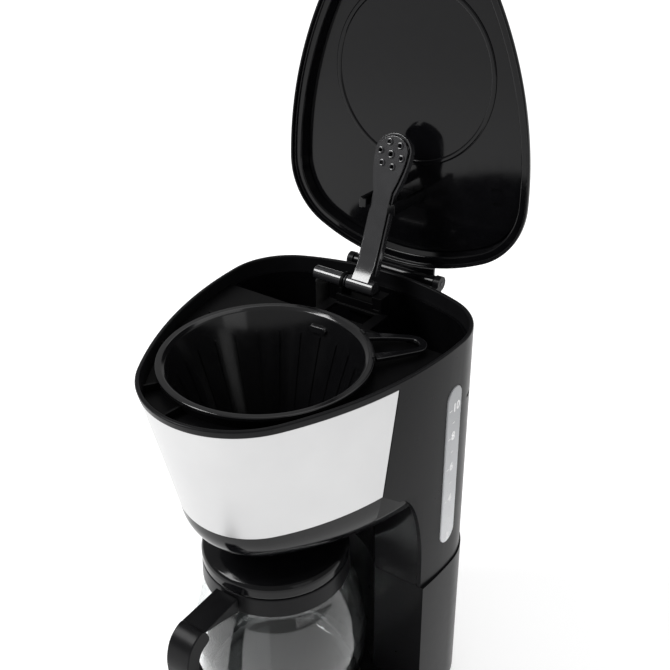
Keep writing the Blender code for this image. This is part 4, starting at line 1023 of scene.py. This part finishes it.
def make_lid_shell():
    crown = bent([(0.3297, -0.0470), (0.3294, -0.0400), (0.3288, -0.0310), (0.3274, -0.0210),
                  (0.3250, -0.0140), (0.3218, -0.0084), (0.3180, -0.0042),
                  (0.3140, -0.0014), (0.3108, 0.0), (0.3088, 0.0), (0.3083, -0.0004), (0.3083, -0.0012),
                  (0.3088, -0.0016), (0.3116, -0.0016), (0.3118, -0.0022), (0.3118, -0.0064),
                  (0.3124, -0.0072),
                  (0.3200, -0.0086), (0.3212, -0.0092), (0.3240, -0.0150), (0.3264, -0.0220)], 0.0011)
    bm = bmesh.new()
    rows = [[bm.verts.new(point) for point in lid_level(z, grow)] for z, grow in crown]
    join_rows(bm, rows)
    bm.faces.new(rows[0])
    bm.faces.new(rows[-1])
    settle(shape(bm), "lid_dome", LID_GLOSS, "lid", "satin_black", "lid_shell", place=LID_PLACE,
           crease_deg=40)


def make_lid_panel():
    panel = loft([lid_level(0.3192, -0.0092), lid_level(0.3196, -0.0090), lid_level(0.3208, -0.0094)])
    ridge = [(0.0606, 0.3198), (0.0603, 0.3187), (0.0596, 0.3183), (0.0576, 0.3183), (0.0569, 0.3187),
             (0.0566, 0.3198)]
    rib = turned(fillet(ridge, 0.0005, 3, True), (0.0, 0.0115, 0.0), 160)
    carve(panel, rib, "UNION")
    for x, y, half in ((0.0700, 0.0770, 0.0060), (0.0705, 0.0860, 0.0045)):    # vent slots by the hinge side
        slot = prism(arc((x, y), 0.0011, -90, 90, 8) + arc((x - half, y), 0.0011, 90, 270, 8), 0.3180, 0.3204)
        carve(panel, slot)
    for y, half in ((0.0900, 0.0150), (0.0935, 0.0150), (0.0970, 0.0150), (0.1005, 0.0150)):
        fin = prism([(-half, y), (half, y), (half, y + 0.0006), (-half, y + 0.0006)], 0.3187, 0.3198)
        carve(panel, fin, "UNION")
    settle(panel, "lid_inner_panel", LID_GLOSS, "lid", "gloss_black", "lid_panel", place=LID_PLACE)


SIDEWAYS = Matrix.Rotation(math.radians(90), 4, "Y")


def make_lid_hinge():
    section = [(0.0018, -0.0330), (0.0018, 0.0330), (0.0045, 0.0330), (0.0045, -0.0330)]
    barrel = turned(fillet(section, 0.0006, 3, True), steps=48)
    barrel.data.transform(Matrix.Translation((0.0, HINGE_Y, HINGE_Z)) @ SIDEWAYS)
    web = soften(block((-0.0300, HINGE_Y - 0.0180, HINGE_Z + 0.0022),
                       (0.0300, HINGE_Y - 0.0005, HINGE_Z + 0.0043)), 0.0004)
    carve(barrel, web, "UNION")
    carve(barrel, loft([lid_level(0.30, 2 * SEAT_GAP), lid_level(0.33, 2 * SEAT_GAP)]))
    settle(barrel, "lid_barrel", LID_GLOSS, "lid", "satin_black", "lid_knuckle", place=LID_PLACE)
    for side in ("left", "right"):
        settle(soften(kept_shape("arm_hook_" + side), 0.00035), "lid_hook_" + side, LID_GLOSS, "lid",
               "gloss_black", "arm_hook_" + side, place=HERE)


make_lid_shell()
make_lid_panel()
make_lid_hinge()

# ---- spray arm and its pivot ----------------------------------------------------------------
# Hot water reaches a hollow arm through its hub and falls from seven nozzles. The arm is a
# trough with a welded cover. Its hub turns on an outlet tube held by a bracket on the tank.
ARM = Vector((0.0, 0.1050, 0.3124))
ARM_PLACE = STAND @ Matrix.Translation(ARM) @ Matrix.Rotation(-math.radians(113.4), 4, "X")
ARM_LENGTH = 0.0890
ARM_GLOSS = moulded("arm_black", (0.0170, 0.0170, 0.0185), 0.15, 1500.0, 0.05, 0.03,
                    Specular_IOR_Level=0.8).material


def arm_plan(half, head_r, start):
    head = arc((0.0, -ARM_LENGTH), head_r, -162.0, -18.0, 40)
    side = Vector(head[-1])
    neck = Vector((half, -(ARM_LENGTH - head_r - 0.0120)))
    bulge = Vector((head_r * 1.02, -ARM_LENGTH + head_r * 0.55))
    right = []
    for index in range(1, 17):      # the head flows into the straight sides
        t = index / 16
        right.append(tuple(side * (1 - t) ** 2 + bulge * 2 * t * (1 - t) + neck * t**2))
    return head + right + [(half, -start), (-half, -start)] + [(-x, y) for x, y in reversed(right)]


def make_spray_arm():
    plate = soften(prism(arm_plan(0.0066, 0.0122, 0.0030), -0.0012, 0.0003), 0.0003, 2, 50)
    profile = [(0.0, -0.0108), (0.0050, -0.0108), (0.0050, 0.0105), (0.0, 0.0105)]
    hub = turned(fillet(profile, 0.0006), steps=64)
    hub.data.transform(SIDEWAYS)
    carve(plate, hub, "UNION")
    slope = [(-0.0030, -0.0049), (-0.0155, -0.0011), (-0.0155, 0.0002), (-0.0030, 0.0002)]
    ramp = prism(slope, -0.0066, 0.0066, True)
    carve(plate, soften(ramp, 0.0002), "UNION")
    carve(plate, rod((-0.02, 0, 0), (0.0090, 0, 0), 0.0035, 48))
    for index in range(7):
        angle = math.radians(60 * index + 10)
        spread = 0.0 if index == 6 else 0.0084
        at = (spread * math.cos(angle), -ARM_LENGTH + spread * math.sin(angle), 0.0)
        wide = 1.18 if index == 6 else 1.0
        ring = fillet([(0.00135 * wide, -0.0006), (0.00135 * wide, -0.0022), (0.0022 * wide, -0.0022),
                       (0.0025 * wide, -0.0006)], 0.00025, 2, True)
        drill = [(0.0, -0.0030), (0.0013 * wide, -0.0030), (0.0013 * wide, 0.0010), (0.0, 0.0010)]
        carve(plate, turned(drill, at, 32))
        carve(plate, turned(ring, at, 40), "UNION")
    settle(plate, "arm_nozzle_plate", ARM_GLOSS, "arm", "gloss_black", "spray_plate", place=ARM_PLACE)
    cover = prism(arm_plan(0.0082, 0.0142, 0.0078), 0.0006, 0.0056)
    carve(cover, prism(arm_plan(0.0070, 0.0130, 0.0090), 0.0, 0.0044))
    settle(soften(cover, 0.00025, 2, 50), "arm_cover", ARM_GLOSS, "arm", "gloss_black", "spray_cover",
           place=ARM_PLACE)


def make_outlet():
    profile = [(0.0033, 0.0462), (0.0033, 0.0266), (0.0048, 0.0262), (0.0048, 0.0004), (0.0044, 0.0),
               (0.0022, 0.0), (0.0022, 0.0462)]
    tube = turned(fillet(profile, 0.0004, 3, True), steps=64)
    tube.data.transform(Matrix.Translation((-0.0380, ARM.y, ARM.z)) @ SIDEWAYS)
    settle(tube, "outlet_stub", ARM_GLOSS, "machine", "gloss_black", "outlet_tube")


def make_bracket():
    settle(soften(kept_shape("pivot_bracket"), 0.0003, 2, 40), "pivot_shelf", INNER_SHADED_BLACK, "machine",
           "satin_black", "pivot_bracket", place=HERE)


def make_riser():
    """Silicone hose from the heater up through the tank to the outlet's elbow."""
    x = -0.0330
    route = [(x, 0.0824, 0.0225), (x, 0.0900, 0.0225), (x, 0.1020, 0.0310), (x, 0.1050, 0.0460),
             (x, 0.1050, 0.1000), (x, 0.1050, 0.2000), (x, 0.1050, 0.3070)]
    curve = bpy.data.curves.new("riser", "CURVE")
    curve.dimensions = "3D"
    curve.bevel_depth = 0.0050
    curve.bevel_resolution = 6
    curve.use_fill_caps = True
    spline = curve.splines.new("POLY")
    for _ in range(2):
        rounded = [route[0]]
        for a, b in zip(route, route[1:]):
            a, b = Vector(a), Vector(b)
            rounded += [tuple(a.lerp(b, 0.25)), tuple(a.lerp(b, 0.75))]
        route = rounded + [route[-1]]
    spline.points.add(len(route) - 1)
    for slot, point in zip(spline.points, route):
        slot.co = (*point, 1.0)
    dark = soft_finish("dark_silicone", (0.006, 0.006, 0.006), (0.012, 0.012, 0.012), 0.25, 160.0, 0.05)
    settle(joined(drawn(curve)), "riser_tube", dark, "machine", "hose", "riser_hose")


make_spray_arm()
make_outlet()
make_bracket()
make_riser()

# ---- floor, light and camera ----------------------------------------------------------------
# A white table twelve metres across, a key light in front, a large soft one behind and above,
# and a faint one on the right.


def make_floor():
    made = Finish("white_table", Roughness=0.7, Specular_IOR_Level=0.2, Emission_Strength=1.0)
    away = made.node("ShaderNodeVectorMath", {"operation": "LENGTH"}, {0: made.place}, "Value")
    painted_table_glow = made.node("ShaderNodeClamp", {}, {"Value": (away - 0.5) * 0.45})     # painted light: the table glows, more the farther from the machine, which washes out the shadows cast on it
    made.feed("Emission Color", made.mix(painted_table_glow, (0.50, 0.50, 0.50), (0.80, 0.80, 0.80)))
    made.feed("Base Color", made.mix(made.noise(3.0, 2.0), (0.93, 0.93, 0.93), (0.95, 0.95, 0.95)))
    bm = bmesh.new()
    bmesh.ops.create_grid(bm, x_segments=8, y_segments=8, size=6.0)
    floor = shape(bm)
    floor.name = "table_top"
    floor.data.transform(Matrix.Translation((0.0, 0.0, -0.0005)))
    floor.data.materials.append(made.material)


def softbox(name, place, aim, size, power, size_y=None):
    lamp = bpy.data.lights.new(name, "AREA")
    lamp.shape = "RECTANGLE"
    lamp.size, lamp.size_y = size, size_y or size
    lamp.energy = power
    made = bpy.data.objects.new(name, lamp)
    bpy.context.scene.collection.objects.link(made)
    made.location = place
    made.rotation_euler = (Vector(aim) - Vector(place)).to_track_quat("-Z", "Y").to_euler()


def make_light():
    world = bpy.data.worlds.new("studio")
    world.use_nodes = True
    world.node_tree.nodes["Background"].inputs["Color"].default_value = (1.0, 1.0, 1.0, 1.0)
    world.node_tree.nodes["Background"].inputs["Strength"].default_value = 0.38
    bpy.context.scene.world = world
    softbox("key", (-0.90, -0.91, 1.53), (0.0, 0.07, 0.32), 0.7, 20.0)
    softbox("overhead", (0.1, 0.9, 2.2), (0.0, 0.0, 0.2), 2.0, 12.0)
    softbox("fill_right", (1.9, -0.6, 0.9), (0.0, 0.0, 0.2), 1.0, 3.0, 1.4)
    bpy.context.scene.view_settings.view_transform = "Standard"


def make_camera():
    """Camera on its tripod: where it stands, and how far it is turned, tipped and tilted."""
    turn, tip, tilt = math.radians(35.42), math.radians(30.19), math.radians(0.79)
    ahead = Vector((-math.sin(turn) * math.cos(tip), math.cos(turn) * math.cos(tip), -math.sin(tip)))
    right = Vector((math.cos(turn), math.sin(turn), 0.0))
    down = ahead.cross(right)
    right, down = (right * math.cos(tilt) + down * math.sin(tilt),
                   down * math.cos(tilt) - right * math.sin(tilt))
    eye = bpy.data.cameras.new("camera")
    eye.lens = 51.97
    eye.sensor_width = 36.0
    camera = bpy.data.objects.new("camera", eye)
    bpy.context.scene.collection.objects.link(camera)
    camera.matrix_world = Matrix.Translation((0.3219, -0.41775, 0.6124)) \
        @ Matrix((right, -down, -ahead)).transposed().to_4x4()
    bpy.context.scene.camera = camera


make_floor()
make_light()
make_camera()
